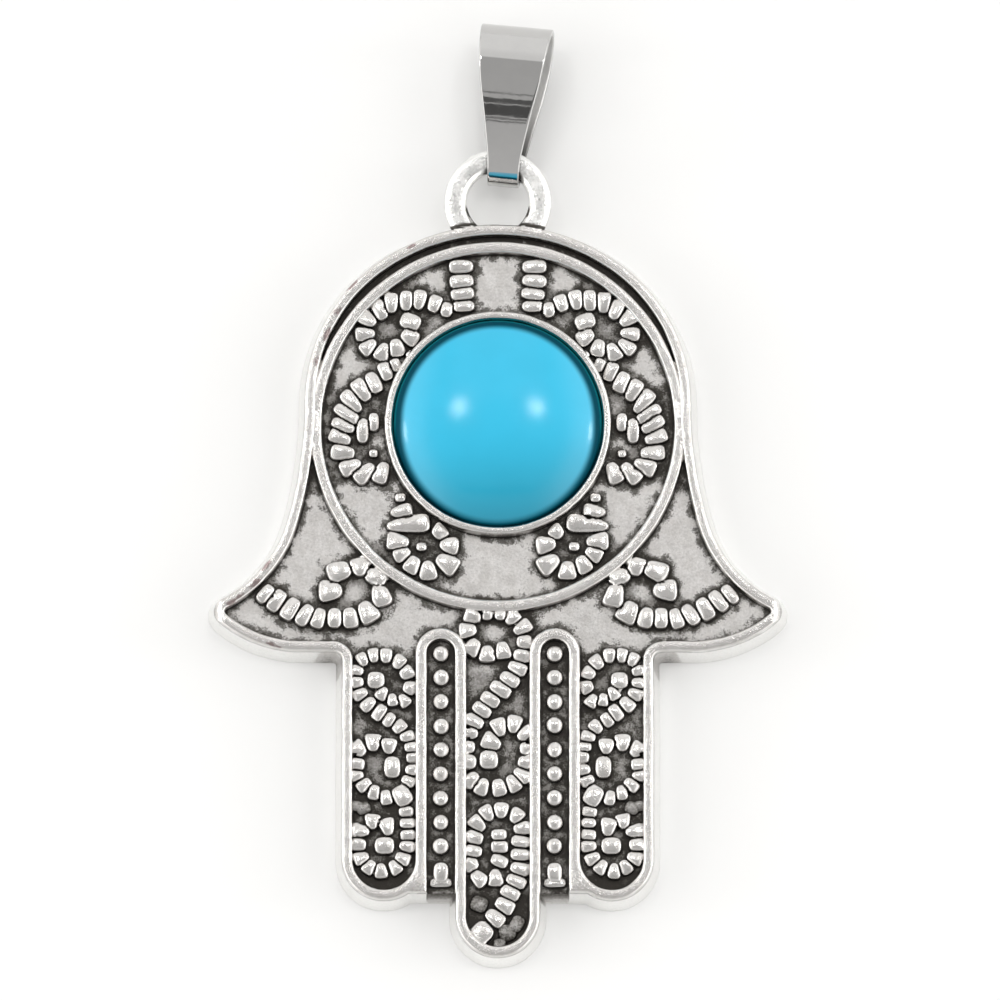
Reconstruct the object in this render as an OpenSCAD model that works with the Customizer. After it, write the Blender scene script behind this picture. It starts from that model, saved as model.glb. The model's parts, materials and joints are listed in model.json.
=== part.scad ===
// Hamsa pendant: a cast hand with a round stone in its palm and a strip bail.
// It lies on its back. +Z is the front's normal, +Y points up the hand to the bail,
// and the origin is on the flat back, under the middle of the stone.

/* [Palm] */
// Width across the palm at its widest place
palm_w = 25.7; // [25.4:0.1:26.5]
// How far the palm's widest place lies above the stone's centre
widest_rise = 1.5; // [1:0.1:2.5]
// Distance from the stone's centre up to the top of the palm
palm_top = 13.45; // [13.2:0.05:13.9]
// Radius of the arch across the top of the palm
crown_r = 13.86; // [13.5:0.02:14.5]
// Radius of the palm's hollow side below its widest place
waist_r = 29; // [24:0.5:36]
// Width across the wing tips
wing_span = 37.7; // [35:0.1:41]
// Distance from the stone's centre down to the wing tips
wing_drop = 12.63; // [12:0.1:13.2]
// Distance from the stone's centre down to the wings' bottom edge
wing_base = 15.33; // [15:0.1:16]
// Radius of a wing tip
wing_tip_r = 0.9; // [0.6:0.05:1.2]
// Where the wings' bottom edge turns up towards the tip, from the middle
wing_belly = 13; // [12:0.1:14]
// Where the side turns into the flank's tighter hollow, below the stone's centre
flank_top = 6.5; // [5.5:0.1:7.5]

/* [Fingers] */
// Outer width of a finger
finger_w = 5.58; // [5.2:0.05:5.9]
// Distance from the middle finger's centre line to a side finger's
finger_pitch = 7.55; // [7.3:0.05:8]
// Distance from the stone's centre down to the side fingertips
side_reach = 32; // [30:0.5:34]
// How far the middle fingertip reaches past the side fingertips
middle_extra = 3.8; // [2.8:0.1:5]
// How far the webs' lower edge lies above the side fingertips
web_rise = 0.5; // [0.3:0.1:1.5]
// Distance from the stone's centre down to the arch of a bead channel
channel_top = 15.44; // [15:0.1:16.5]
// Radius of the corner between wing and finger
armpit_r = 0.6; // [0.5:0.05:1]

/* [Thickness] */
// Height of the rim over the flat back
rim_top = 2.6; // [2.4:0.1:3.2]
// Height of the open floor over the flat back
floor_top = 1.75; // [1.4:0.05:1.9]
// Width of the rim
rim_w = 0.7; // [0.5:0.05:0.85]
// Width of the ridges round the bead channels
ridge_w = 0.755; // [0.5:0.05:0.9]
// How far the sides spread from the rim down to the back
draft = 0.45; // [0.2:0.05:0.55]
// Bevel along the rim's outer edge
rim_bevel = 0.18; // [0.1:0.02:0.25]

/* [Palm ring and bezel] */
// Outer radius of the ring round the palm
ring_r = 12.5; // [12.2:0.05:12.6]
// How far the ring's centre lies below the stone's centre
ring_drop = 0.17; // [0:0.01:0.25]
// Width of the ring
ring_w = 0.78; // [0.5:0.02:1]
// Height of the ring over the flat back
ring_top = 2.52; // [2.3:0.02:3]
// Wall of the bezel cup
bezel_wall = 0.54; // [0.4:0.02:0.8]
// Height of the bezel over the flat back
bezel_top = 2.9; // [2.7:0.1:3.4]
// Height of the bezel cup's floor over the flat back
cup_floor = 1; // [0.8:0.1:1.3]

/* [Stone] */
// Diameter of the stone
stone_d = 13.8; // [12:0.1:14]
// Free room round and under the stone in its cup
stone_fit = 0.1; // [0.05:0.01:0.2]
// Height of the stone's upright edge
stone_edge = 1.2; // [0.8:0.1:1.6]
// Height of the stone from its flat back to its crown
stone_t = 3.8; // [3:0.1:5]

/* [Relief] */
// Diameter of a bead in the finger channels
bead_d = 0.98; // [0.7:0.02:1.1]
// Distance from bead to bead
bead_pitch = 1.617; // [1.2:0.05:2]
// Beads in one channel
bead_count = 10; // [4:1:10]
// Thickness of a rope lobe along its rope, as a share of the lobes' pitch
lobe_fill = 0.86; // [0.6:0.02:0.88]
// How far the lobes' axes lie over the floor
lobe_lift = 0.14; // [0.05:0.01:0.2]
// Diameter of a dot in the palm scrolls
dot_d = 0.7; // [0.5:0.05:0.9]

/* [Eyelet] */
// Outer radius of the eyelet
eyelet_r = 3.6; // [3.4:0.05:4]
// Width of the eyelet's wire, seen from the front
eyelet_wire = 1.53; // [1.2:0.01:1.6]
// Thickness of the eyelet's wire from front to back
eyelet_t = 1.25; // [1:0.05:1.4]
// Distance from the stone's centre up to the eyelet's centre
eyelet_rise = 15; // [14.8:0.1:15.8]

/* [Bail] */
// Length of the bail from its curl to its fold, over the strip
bail_l = 10.75; // [9:0.25:13]
// Depth of the bail at its fold
bail_depth = 5.8; // [5:0.1:7]
// Width of the bail at its fold
bail_wide = 4.85; // [3.5:0.1:6]
// Width of the bail at its curl
bail_narrow = 2.1; // [1.8:0.05:2.4]
// Thickness of the bail's strip
bail_t = 0.42; // [0.3:0.02:0.6]
// Free room between the eyelet's wire and the bail's curl
bail_slack = 0.18; // [0.14:0.02:0.3]
// Where the bail hangs on the eyelet, in degrees clockwise from its top
bail_shift = 10.5; // [0:0.5:13]
// How far the bail's length leans clockwise from +Y, in degrees
bail_lean = 6; // [0:0.5:8]
// How far the bail is rolled on its length, in degrees
bail_roll = 5; // [0:0.5:6]

/* [Hidden] */
$fn = 48;

silver = [0.66, 0.65, 0.62];
bright_silver = [0.82, 0.82, 0.81];
turquoise = [0.27, 0.74, 0.88];

// Each boundary between fused shapes is sunk by this much
sink = 0.3;

// The top of the palm: a wide arch that runs into a tighter arc down to the widest place
palm_half = palm_w/2;
crown_c = [0, palm_top - crown_r];
crown_up = widest_rise - crown_c.y;
shoulder_r = (crown_r^2 - palm_half^2 - crown_up^2)/(2*(crown_r - palm_half));
shoulder_c = [palm_half - shoulder_r, widest_rise];
crown_end = atan2(crown_up, shoulder_c.x);

// The side of the palm: a slightly hollow waist that leaves the widest place upright, and a flank
// that goes on from it in a tighter hollow and meets the wing tip's arc
tip_c = [wing_span/2 - wing_tip_r, -wing_drop];
waist_c = [palm_half + waist_r, widest_rise];
waist_turn = asin((widest_rise + flank_top)/waist_r);
flank_in = [cos(waist_turn), sin(waist_turn)];
flank_start = waist_c - waist_r*flank_in;
tip_away = flank_start - tip_c;
flank_r = (tip_away*tip_away - wing_tip_r^2)/(2*(wing_tip_r - flank_in*tip_away));
flank_c = flank_start + flank_r*flank_in;

// The wing's bottom: a round belly from the wing tip to the level bottom edge
belly_out = tip_c.x - wing_belly;
belly_up = tip_c.y + wing_base;
belly_r = (belly_out^2 + belly_up^2 - wing_tip_r^2)/(2*(belly_up - wing_tip_r));
belly_c = [wing_belly, belly_r - wing_base];
flank_turn = atan2(flank_c.y - tip_c.y, flank_c.x - tip_c.x);
belly_turn = atan2(tip_c.y - belly_c.y, tip_c.x - belly_c.x);

// The fingers and the channels between them
middle_reach = side_reach + middle_extra;
web_reach = side_reach - web_rise;
finger_r = finger_w/2;
side_c = [finger_pitch, finger_r - side_reach];
middle_c = [0, finger_r - middle_reach];
armpit_c = [finger_pitch + finger_r + armpit_r, -wing_base - armpit_r];
ridge_half = finger_pitch/2 - finger_r + rim_w;
channel_half = ridge_half - ridge_w;
channel_x = finger_pitch/2;

// The ring and the bezel
field_r = ring_r - ring_w;
cup_r = stone_d/2 + stone_fit;
bezel_r = cup_r + bezel_wall;

// The bail's hinge is the centre of the eyelet's wire where the bail hangs on it. The wire curves
// across the bail, and the curl is just wide enough for that. The rolled strip's lowest corner
// sets how high the wire lies over the floor.
wire_r = eyelet_r - eyelet_wire/2;
wire_in = eyelet_r - eyelet_wire;
bail_yaw = abs(bail_shift - bail_lean);
curl_reach = bail_narrow/2 + wire_r*sin(bail_yaw);
curl_in = wire_r*cos(bail_yaw) - sqrt(wire_in^2 - curl_reach^2) + bail_slack;
curl_out = curl_in + bail_t;
fold_out = bail_depth/2;
fold_in = fold_out - bail_t;
fold_c = [bail_l - curl_out - fold_out, fold_out - curl_out];
floor_gap = 0.02;
hinge_z = curl_out*cos(bail_roll) + bail_wide/2*sin(bail_roll) + floor_gap;
hinge = [wire_r*sin(bail_shift), eyelet_rise + wire_r*cos(bail_shift), hinge_z];

// How the bail widens from its curl to its fold. Columns: share of its length, share of the
// difference between its narrow and its wide end
bail_taper = [[0, 0], [0.127, 0.01], [0.22, 0.12], [0.42, 0.40], [0.61, 0.70], [0.80, 0.88], [1, 1]];

// Palm scrolls on the right half, in shares of the field's radius, mirrored to the left half.
// Columns: first lobe x, y, last lobe x, y, turn of the rope in degrees (left is positive),
// number of lobes, length of a lobe across the rope
palm_ropes = [
    [0.210, 0.925, 0.204, 0.691,    0, 4, 0.135],
    [0.297, 0.668, 0.757, 0.616,  -80, 7, 0.110],
    [0.763, 0.534, 0.579, 0.446, -130, 4, 0.100],
    [0.648, 0.312, 0.895, -0.009, -52, 6, 0.135],
    [0.913, -0.073, 0.671, -0.277, -130, 5, 0.120],
    [0.561, -0.429, 0.556, -0.505,  0, 2, 0.100],
    [0.579, -0.680, 0.297, -0.808, -122, 5, 0.115],
    [0.279, -0.703, 0.337, -0.627, -30, 2, 0.090]];

// Palm pads, in the same shares. Columns: x, y, length, thickness, direction of the length in degrees
palm_pads = [
    [0.504, 0.510, 0.105, 0.075, 30],
    [0.504, 0.604, 0.115, 0.100, -50],
    [0.780, -0.038, 0.140, 0.069, 90],
    [0.717, 0.020, 0.090, 0.055, 90],
    [0.515, -0.586, 0.245, 0.069, 0],
    [0.590, 0.347, 0.075, 0.045, 75]];

// Dots inside the palm scrolls, in the same shares. Columns: x, y
palm_dots = [[0.441, -0.715], [0.717, -0.172]];

// Wing scrolls on the right half. Columns as for the palm, in shares of the wing's reach and drop
wing_ropes = [
    [0.807, -0.745, 0.457, -0.824, -62, 8, 0.060],
    [0.404, -0.749, 0.586, -0.736, -184, 5, 0.068]];

// Side finger scrolls on the right finger. Columns as for the palm, but x in shares of the floor's
// half width, y in shares of its length down from the wings' edge, and lengths in finger radii
side_ropes = [
    [0.700, 0.034, -0.795, 0.152, 129, 6, 0.300],
    [-0.636, 0.203, 0.064, 0.173, 70, 3, 0.290],
    [0.859, 0.080, 0.541, 0.224, -44, 4, 0.300],
    [0.159, 0.253, -0.732, 0.354, 0, 4, 0.330],
    [-0.827, 0.401, -0.764, 0.544, 34, 4, 0.260],
    [-0.032, 0.612, 0.859, 0.473, 87, 5, 0.320],
    [0.827, 0.409, -0.159, 0.397, 77, 3, 0.350],
    [-0.700, 0.671, -0.732, 0.819, 0, 4, 0.330],
    [-0.605, 0.869, 0.732, 0.865, 125, 5, 0.320],
    [0.795, 0.810, -0.096, 0.738, 150, 4, 0.350]];

// Side finger pads. Columns as for the palm, in the finger's shares
side_pads = [
    [0.255, 0.118, 0.360, 0.360, 90],
    [-0.573, 0.603, 0.440, 0.400, 110],
    [-0.255, 0.485, 0.500, 0.370, 90],
    [-0.032, 0.814, 0.420, 0.370, 10]];

// Middle finger scrolls, in the shares of that finger
middle_ropes = [
    [-0.789, -0.119, 0.197, -0.003, 172, 5, 0.360],
    [0.800, -0.082, 0.484, -0.116, -20, 2, 0.330],
    [0.834, -0.034, 0.388, 0.095, -30, 4, 0.380],
    [0.102, 0.130, -0.725, 0.235, 0, 4, 0.430],
    [-0.916, 0.276, -0.853, 0.433, 25, 4, 0.360],
    [-0.471, 0.460, 0.961, 0.331, 125, 6, 0.340],
    [0.961, 0.276, -0.185, 0.307, 138, 4, 0.360],
    [-0.630, 0.583, 0.610, 0.556, -100, 4, 0.360],
    [0.770, 0.600, 0.706, 0.736, 0, 4, 0.440],
    [0.610, 0.780, -0.057, 0.903, -12, 4, 0.440],
    [-0.725, 0.631, -0.820, 0.723, 0, 3, 0.360],
    [-0.630, 0.770, -0.057, 0.767, 40, 2, 0.380],
    [0.070, 0.620, 0.100, 0.709, 0, 3, 0.390]];

// Middle finger pads, in the shares of that finger
middle_pads = [
    [-0.248, 0.368, 0.420, 0.400, 0],
    [-0.503, 0.954, 0.480, 0.440, 35],
    [-0.312, -0.133, 0.300, 0.240, 90],
    [0.100, -0.130, 0.300, 0.240, 90]];

// Points of an arc from angle a1 to a2 in n steps
function arc(c, r, a1, a2, n) = [for (i = [0:n]) let (a = a1 + (a2 - a1)*i/n) c + r*[cos(a), sin(a)]];

// Right half of the hand's outline, spread by d, from the top round to the middle fingertip
function half_outline(d) = concat(
    arc(crown_c, crown_r + d, 90, crown_end, 12),
    arc(shoulder_c, shoulder_r + d, crown_end, 0, 14),
    arc(waist_c, waist_r - d, 180, 180 + waist_turn, 6),
    arc(flank_c, flank_r - d, 180 + waist_turn, 180 + flank_turn, 8),
    arc(tip_c, wing_tip_r + d, flank_turn, belly_turn, 6),
    arc(belly_c, belly_r + d, belly_turn, -90, 8),
    arc(armpit_c, armpit_r - d, 90, 180, 3),
    arc(side_c, finger_r + d, 0, asin((web_reach + side_c.y + d)/(finger_r + d)) - 180, 14),
    [[finger_r + d, -web_reach - d]],
    arc(middle_c, finger_r + d, 0, -90, 8));

// The whole outline, anticlockwise
function outline(d) =
    let (right = half_outline(d), n = len(right))
    concat([for (i = [n - 1:-1:0]) right[i]], [for (i = [1:n - 2]) [-right[i].x, right[i].y]]);

function level(points, z) = [for (p = points) [p.x, p.y, z]];

// The drafted rim: a closed band that runs round the outline. Each row of its profile holds
// how far it lies outside the outline, and its height.
module rim() {
    profile = [
        [draft, 0], [0, rim_top - rim_bevel], [-rim_bevel, rim_top],
        [rim_bevel - rim_w, rim_top], [-rim_w, rim_top - rim_bevel], [-rim_w, 0]];
    n = len(outline(0));
    rows = len(profile);
    polyhedron(
        points = [for (p = profile) each level(outline(p.x), p.y)],
        faces = [for (k = [0:rows - 1], i = [0:n - 1]) let (up = (k + 1)%rows, on = (i + 1)%n)
            [k*n + i, up*n + i, up*n + on, k*n + on]]);
}

// A long round-ended shape seen from above, from its round end at y1 to its square end at y2
module tongue(half, y1, y2) {
    translate([0, y1]) circle(r = half);
    translate([-half, min(y1, y2)]) square([2*half, abs(y2 - y1)]);
}

// The bead channel's floor on the right, open at its lower end
module channel_floor() {
    translate([channel_x, 0]) tongue(channel_half, -channel_top, -web_reach - 2*draft);
}

// The ridges round a bead channel, with the web at its lower end
module channel_ridges() {
    difference() {
        union() {
            translate([channel_x, 0]) tongue(ridge_half, -channel_top, side_c.y);
            translate([channel_x - ridge_half, rim_w/2 - web_reach])
                square([finger_r, web_reach + side_c.y - rim_w/2]);
        }
        translate([side_c.x, 0]) tongue(finger_r - rim_w, side_c.y, -channel_top);
        channel_floor();
    }
}

// The plate with its rim and channel ridges
module plate() {
    difference() {
        union() {
            linear_extrude(height = floor_top) polygon(outline(-rim_w/2));
            rim();
            for (flip = [0, 1]) mirror([flip, 0, 0]) linear_extrude(height = rim_top) channel_ridges();
        }
        for (flip = [0, 1]) mirror([flip, 0, 0])
            translate([0, 0, floor_top]) linear_extrude(height = rim_top) channel_floor();
    }
}

// A ring with a bevelled top, from z0 up to z1
module band(r_in, r_out, z0, z1, bevel) {
    rotate_extrude($fn = 96) polygon([
        [r_in, z0], [r_out, z0], [r_out, z1 - bevel], [r_out - bevel, z1], [r_in + bevel, z1], [r_in, z1 - bevel]]);
}

// A lobe lying on the floor: a cone whose axis runs from its thin end to its thick end
module lobe(at, direction, length, r_thin, r_thick) {
    translate([at.x, at.y, floor_top + lobe_lift])
        rotate([0, 90, direction])
        translate([0, 0, -length/2])
        cylinder(h = length, r1 = r_thin, r2 = r_thick, $fn = 16);
}

// A row of lobes from a table row. size turns the row's shares into lengths along x and y.
module rope(row, origin, size) {
    p1 = origin + [row[0]*size.x, row[1]*size.y];
    p2 = origin + [row[2]*size.x, row[3]*size.y];
    turn = row[4];
    lobes = row[5];
    across = row[6]*size.z;
    chord = p2 - p1;
    steps = lobes - 1;
    if (turn == 0) {
        r = lobe_fill*norm(chord)/steps/2;
        for (i = [0:steps]) lobe(p1 + chord*i/steps, atan2(chord.y, chord.x) + 90, across, r, r);
    } else {
        centre = (p1 + p2)/2 + [-chord.y, chord.x]/2/tan(turn/2);
        radius = norm(p1 - centre);
        start = atan2(p1.y - centre.y, p1.x - centre.x);
        r = lobe_fill*PI*radius*abs(turn)/steps/360;
        thin = max(r*(1 - across/2/radius), r/3);
        thick = r*(1 + across/2/radius);
        for (i = [0:steps]) {
            a = start + turn*i/steps;
            lobe(centre + radius*[cos(a), sin(a)], a, across, thin, thick);
        }
    }
}

// A single lobe from a table row
module pad(row, origin, size) {
    r = row[3]*size.z/2;
    lobe(origin + [row[0]*size.x, row[1]*size.y], row[4], row[2]*size.z, r, r);
}

module bead(at, d) {
    translate([at.x, at.y, floor_top + d/4]) sphere(d = d, $fn = 20);
}

module palm_relief() {
    size = [field_r, field_r, field_r];
    for (row = palm_ropes) rope(row, [0, 0], size);
    for (row = palm_pads) pad(row, [0, 0], size);
    for (at = palm_dots) bead(at*field_r, dot_d);
    wing = [wing_span/2, wing_base, wing_span/2];
    for (row = wing_ropes) rope(row, [0, 0], wing);
}

module finger_relief(ropes, pads, x, reach) {
    size = [finger_r - rim_w, wing_base + rim_w - reach, finger_r];
    for (row = ropes) rope(row, [x, -wing_base], size);
    for (row = pads) pad(row, [x, -wing_base], size);
}

// The beads of a channel, with the stem and the cross bar below the last one
module channel_beads() {
    last = -channel_top - (bead_count - 1)*bead_pitch;
    bar = rim_w - web_reach;
    for (i = [0:bead_count - 1]) bead([channel_x, -channel_top - i*bead_pitch], bead_d);
    translate([channel_x - bead_d/2, bar, floor_top - sink]) cube([bead_d, last - bar, bead_d/4 + sink]);
    lobe([channel_x, bar], 0, 2*channel_half + sink, bead_d/3, bead_d/3);
}

// The eyelet wire's section: a rectangle with bevelled corners
module wire_section() {
    x = eyelet_wire/2;
    z = eyelet_t/2;
    b = eyelet_t/4;
    translate([wire_r, 0]) polygon([
        [-x, b - z], [b - x, -z], [x - b, -z], [x, b - z],
        [x, z - b], [x - b, z], [b - x, z], [-x, z - b]]);
}

module eyelet() {
    difference() {
        translate([0, eyelet_rise, hinge_z]) rotate_extrude($fn = 96) wire_section();
        translate(crown_c) cylinder(r = crown_r - rim_w/2, h = rim_top + sink);
    }
}

// The cast hand: one solid
module hamsa_casting() {
    color(silver) difference() {
        union() {
            plate();
            translate([0, -ring_drop, 0]) band(field_r, ring_r, floor_top - sink, ring_top, rim_bevel);
            band(cup_r - sink, bezel_r, floor_top - sink, bezel_top, rim_bevel/2);
            eyelet();
            palm_relief();
            finger_relief(side_ropes, side_pads, finger_pitch, side_reach);
            mirror([1, 0, 0]) {
                palm_relief();
                finger_relief(side_ropes, side_pads, finger_pitch, side_reach);
            }
            finger_relief(middle_ropes, middle_pads, 0, middle_reach);
            channel_beads();
            mirror([1, 0, 0]) channel_beads();
        }
        translate([0, 0, cup_floor]) cylinder(r = cup_r, h = rim_top, $fn = 96);
    }
}

// The stone: a round edge and an elliptic crown
module cabochon() {
    crown = stone_t - stone_edge;
    steps = 14;
    color(turquoise) translate([0, 0, cup_floor + stone_fit]) rotate_extrude($fn = 96) polygon(concat(
        [[0, 0], [stone_d/2, 0]],
        [for (i = [0:steps]) [stone_d/2*cos(90*i/steps), stone_edge + crown*sin(90*i/steps)]]));
}

// Outline of the bail seen from its side, round the hinge at the origin. The back leaf is level
// and the front leaf climbs from the curl to the fold.
module bail_side(curl, fold) {
    front = 90 + 2*atan2(fold_c.y, fold_c.x);
    polygon(concat(arc([0, 0], curl, front, 270, 20), arc(fold_c, fold, -90, front, 28)));
}

// One edge of the bail seen from the front, on the side of x that side names
function bail_edge(side) = [for (row = bail_taper)
    [side*(bail_narrow + row[1]*(bail_wide - bail_narrow))/2, row[0]*bail_l - curl_out]];

// The bail: a strip folded over and tapered to its curl
module bail() {
    color(bright_silver) translate(hinge) rotate([0, -bail_roll, -bail_lean]) intersection() {
        rotate([90, 0, 90]) linear_extrude(height = bail_wide + 1, center = true) difference() {
            bail_side(curl_out, fold_out);
            bail_side(curl_in, fold_in);
        }
        translate([0, 0, -bail_depth]) linear_extrude(height = 2*bail_depth)
            polygon(concat(bail_edge(1), [for (i = [len(bail_taper) - 1:-1:0]) bail_edge(-1)[i]]));
    }
}

hamsa_casting();
cabochon();
bail();
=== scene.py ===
import json
import math

import bmesh
import bpy
import numpy as np
from mathutils import Matrix, Vector
from mathutils.geometry import delaunay_2d_cdt


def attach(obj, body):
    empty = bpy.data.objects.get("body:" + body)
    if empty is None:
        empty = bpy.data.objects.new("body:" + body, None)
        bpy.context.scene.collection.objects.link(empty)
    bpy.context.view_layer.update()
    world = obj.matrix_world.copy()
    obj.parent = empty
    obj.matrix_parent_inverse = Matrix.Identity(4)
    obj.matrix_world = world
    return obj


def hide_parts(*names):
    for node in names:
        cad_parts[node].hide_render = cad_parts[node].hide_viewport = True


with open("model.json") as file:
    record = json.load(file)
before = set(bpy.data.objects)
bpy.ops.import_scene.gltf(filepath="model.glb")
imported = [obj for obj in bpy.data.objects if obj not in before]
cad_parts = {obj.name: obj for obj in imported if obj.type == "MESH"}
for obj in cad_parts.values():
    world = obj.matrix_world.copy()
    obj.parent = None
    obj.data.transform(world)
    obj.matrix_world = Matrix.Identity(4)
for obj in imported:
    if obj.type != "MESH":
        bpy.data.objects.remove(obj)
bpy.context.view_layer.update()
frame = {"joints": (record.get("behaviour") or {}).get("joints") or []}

# All sizes below are in millimetres, and MM turns them into metres
MM = 0.001
SEED = 11
rng = np.random.default_rng(SEED)

# The photograph: the pixel that lies over the stone's centre, millimetres for one pixel across and
# down, both on the relief's top, and the length of the picture's sides in pixels
PHOTO_CENTRE = (498.5, 424.5)
PHOTO_ACROSS = 0.0665
PHOTO_DOWN = 0.06738
PHOTO_SIZE = 1000

# The hand's plan
PALM_HALF = 12.85
WIDEST_RISE = 1.5
PALM_TOP = 13.45
CROWN_R = 13.86
WAIST_R = 29.0
WING_X = 18.85
WING_DROP = 12.63
WING_BASE = 15.33
WING_TIP_R = 0.9
WING_BELLY = 13.0
FLANK_TOP = 6.5
FINGER_R = 2.79
FINGER_PITCH = 7.55
SIDE_REACH = 32.0
MIDDLE_REACH = 35.8
WEB_REACH = 31.5
CHANNEL_TOP = 15.44
ARMPIT_R = 0.6

# Its heights and widths. The ring's centre lies nearer the fingers than the stone's, by RING_DROP
RIM_TOP = 2.6
FLOOR_TOP = 1.75
CUP_FLOOR = 1.0
RIM_W = 0.7
RIDGE_W = 0.755
DRAFT = 0.43
RING_R = 12.5
RING_DROP = 0.17
FIELD_R = 11.72
RING_TOP = 2.52
CUP_R = 7.0
BEZEL_R = 7.54
BEZEL_TOP = 2.9
SHOULDER = 0.2
SHOULDER_DROP = 0.22
FOOT = 0.05

# The wing tips are worn off on a slope that starts this far in from them
TIP_WEAR = 0.5
TIP_SLOPE = 1.1

# Beads in the channels. The last of them is the top of a stem that stands on a cross bar
BEAD_D = 0.98
BEAD_PITCH = 1.617
BEAD_COUNT = 10
BEAD_RISE = 0.7
STEM_W = 1.06
STEM_RISE = 0.72
BAR_L = 1.5
BAR_W = 0.62
BAR_RISE = 0.52

# The stone
STONE_R = 6.96
STONE_EDGE = 1.2
STONE_T = 3.8
STONE_GAP = 0.1

# Distances from the stone's middle between which painted shade darkens it towards its edge, and between which
# that edge turns from nearly black to teal, a painted light where the bezel hides it from the lamps
STONE_DARKENS = (6.08, 6.58)
STONE_EDGE_GLOW = (6.74, 6.92)

# The eyelet
EYELET_RISE = 15.0
EYELET_R = 3.6
EYELET_WIRE = 1.53
EYELET_T = 1.25

# The bail
BAIL_L = 10.65
BAIL_DEPTH = 5.8
BAIL_WIDE = 4.85
BAIL_NARROW = 2.1
BAIL_T = 0.42
BAIL_SLACK = 0.08
BAIL_SHIFT = 10.5
BAIL_LEAN = 6.0
BAIL_ROLL = 3.5
# Columns: share of the bail's length from its curl, share of the way from its narrow to its wide end
BAIL_TAPER = [(0, 0), (0.127, 0.01), (0.22, 0.12), (0.42, 0.40), (0.61, 0.70), (0.80, 0.88), (1, 1)]

# The angle by which the bail's front leaf turns at either end, since it is bowed outwards, and the
# angles round the curl between which its small flat lies, bowed by FLAT_TURN
BOW_TURN = 4.5
FLAT_START = 118
FLAT_END = 161
FLAT_TURN = 2.8

# How densely the casting is meshed: the spacing of points along edges, on open floor and on the back
EDGE_STEP = 0.3
FLOOR_STEP = 0.26
BACK_STEP = 1.5

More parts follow.
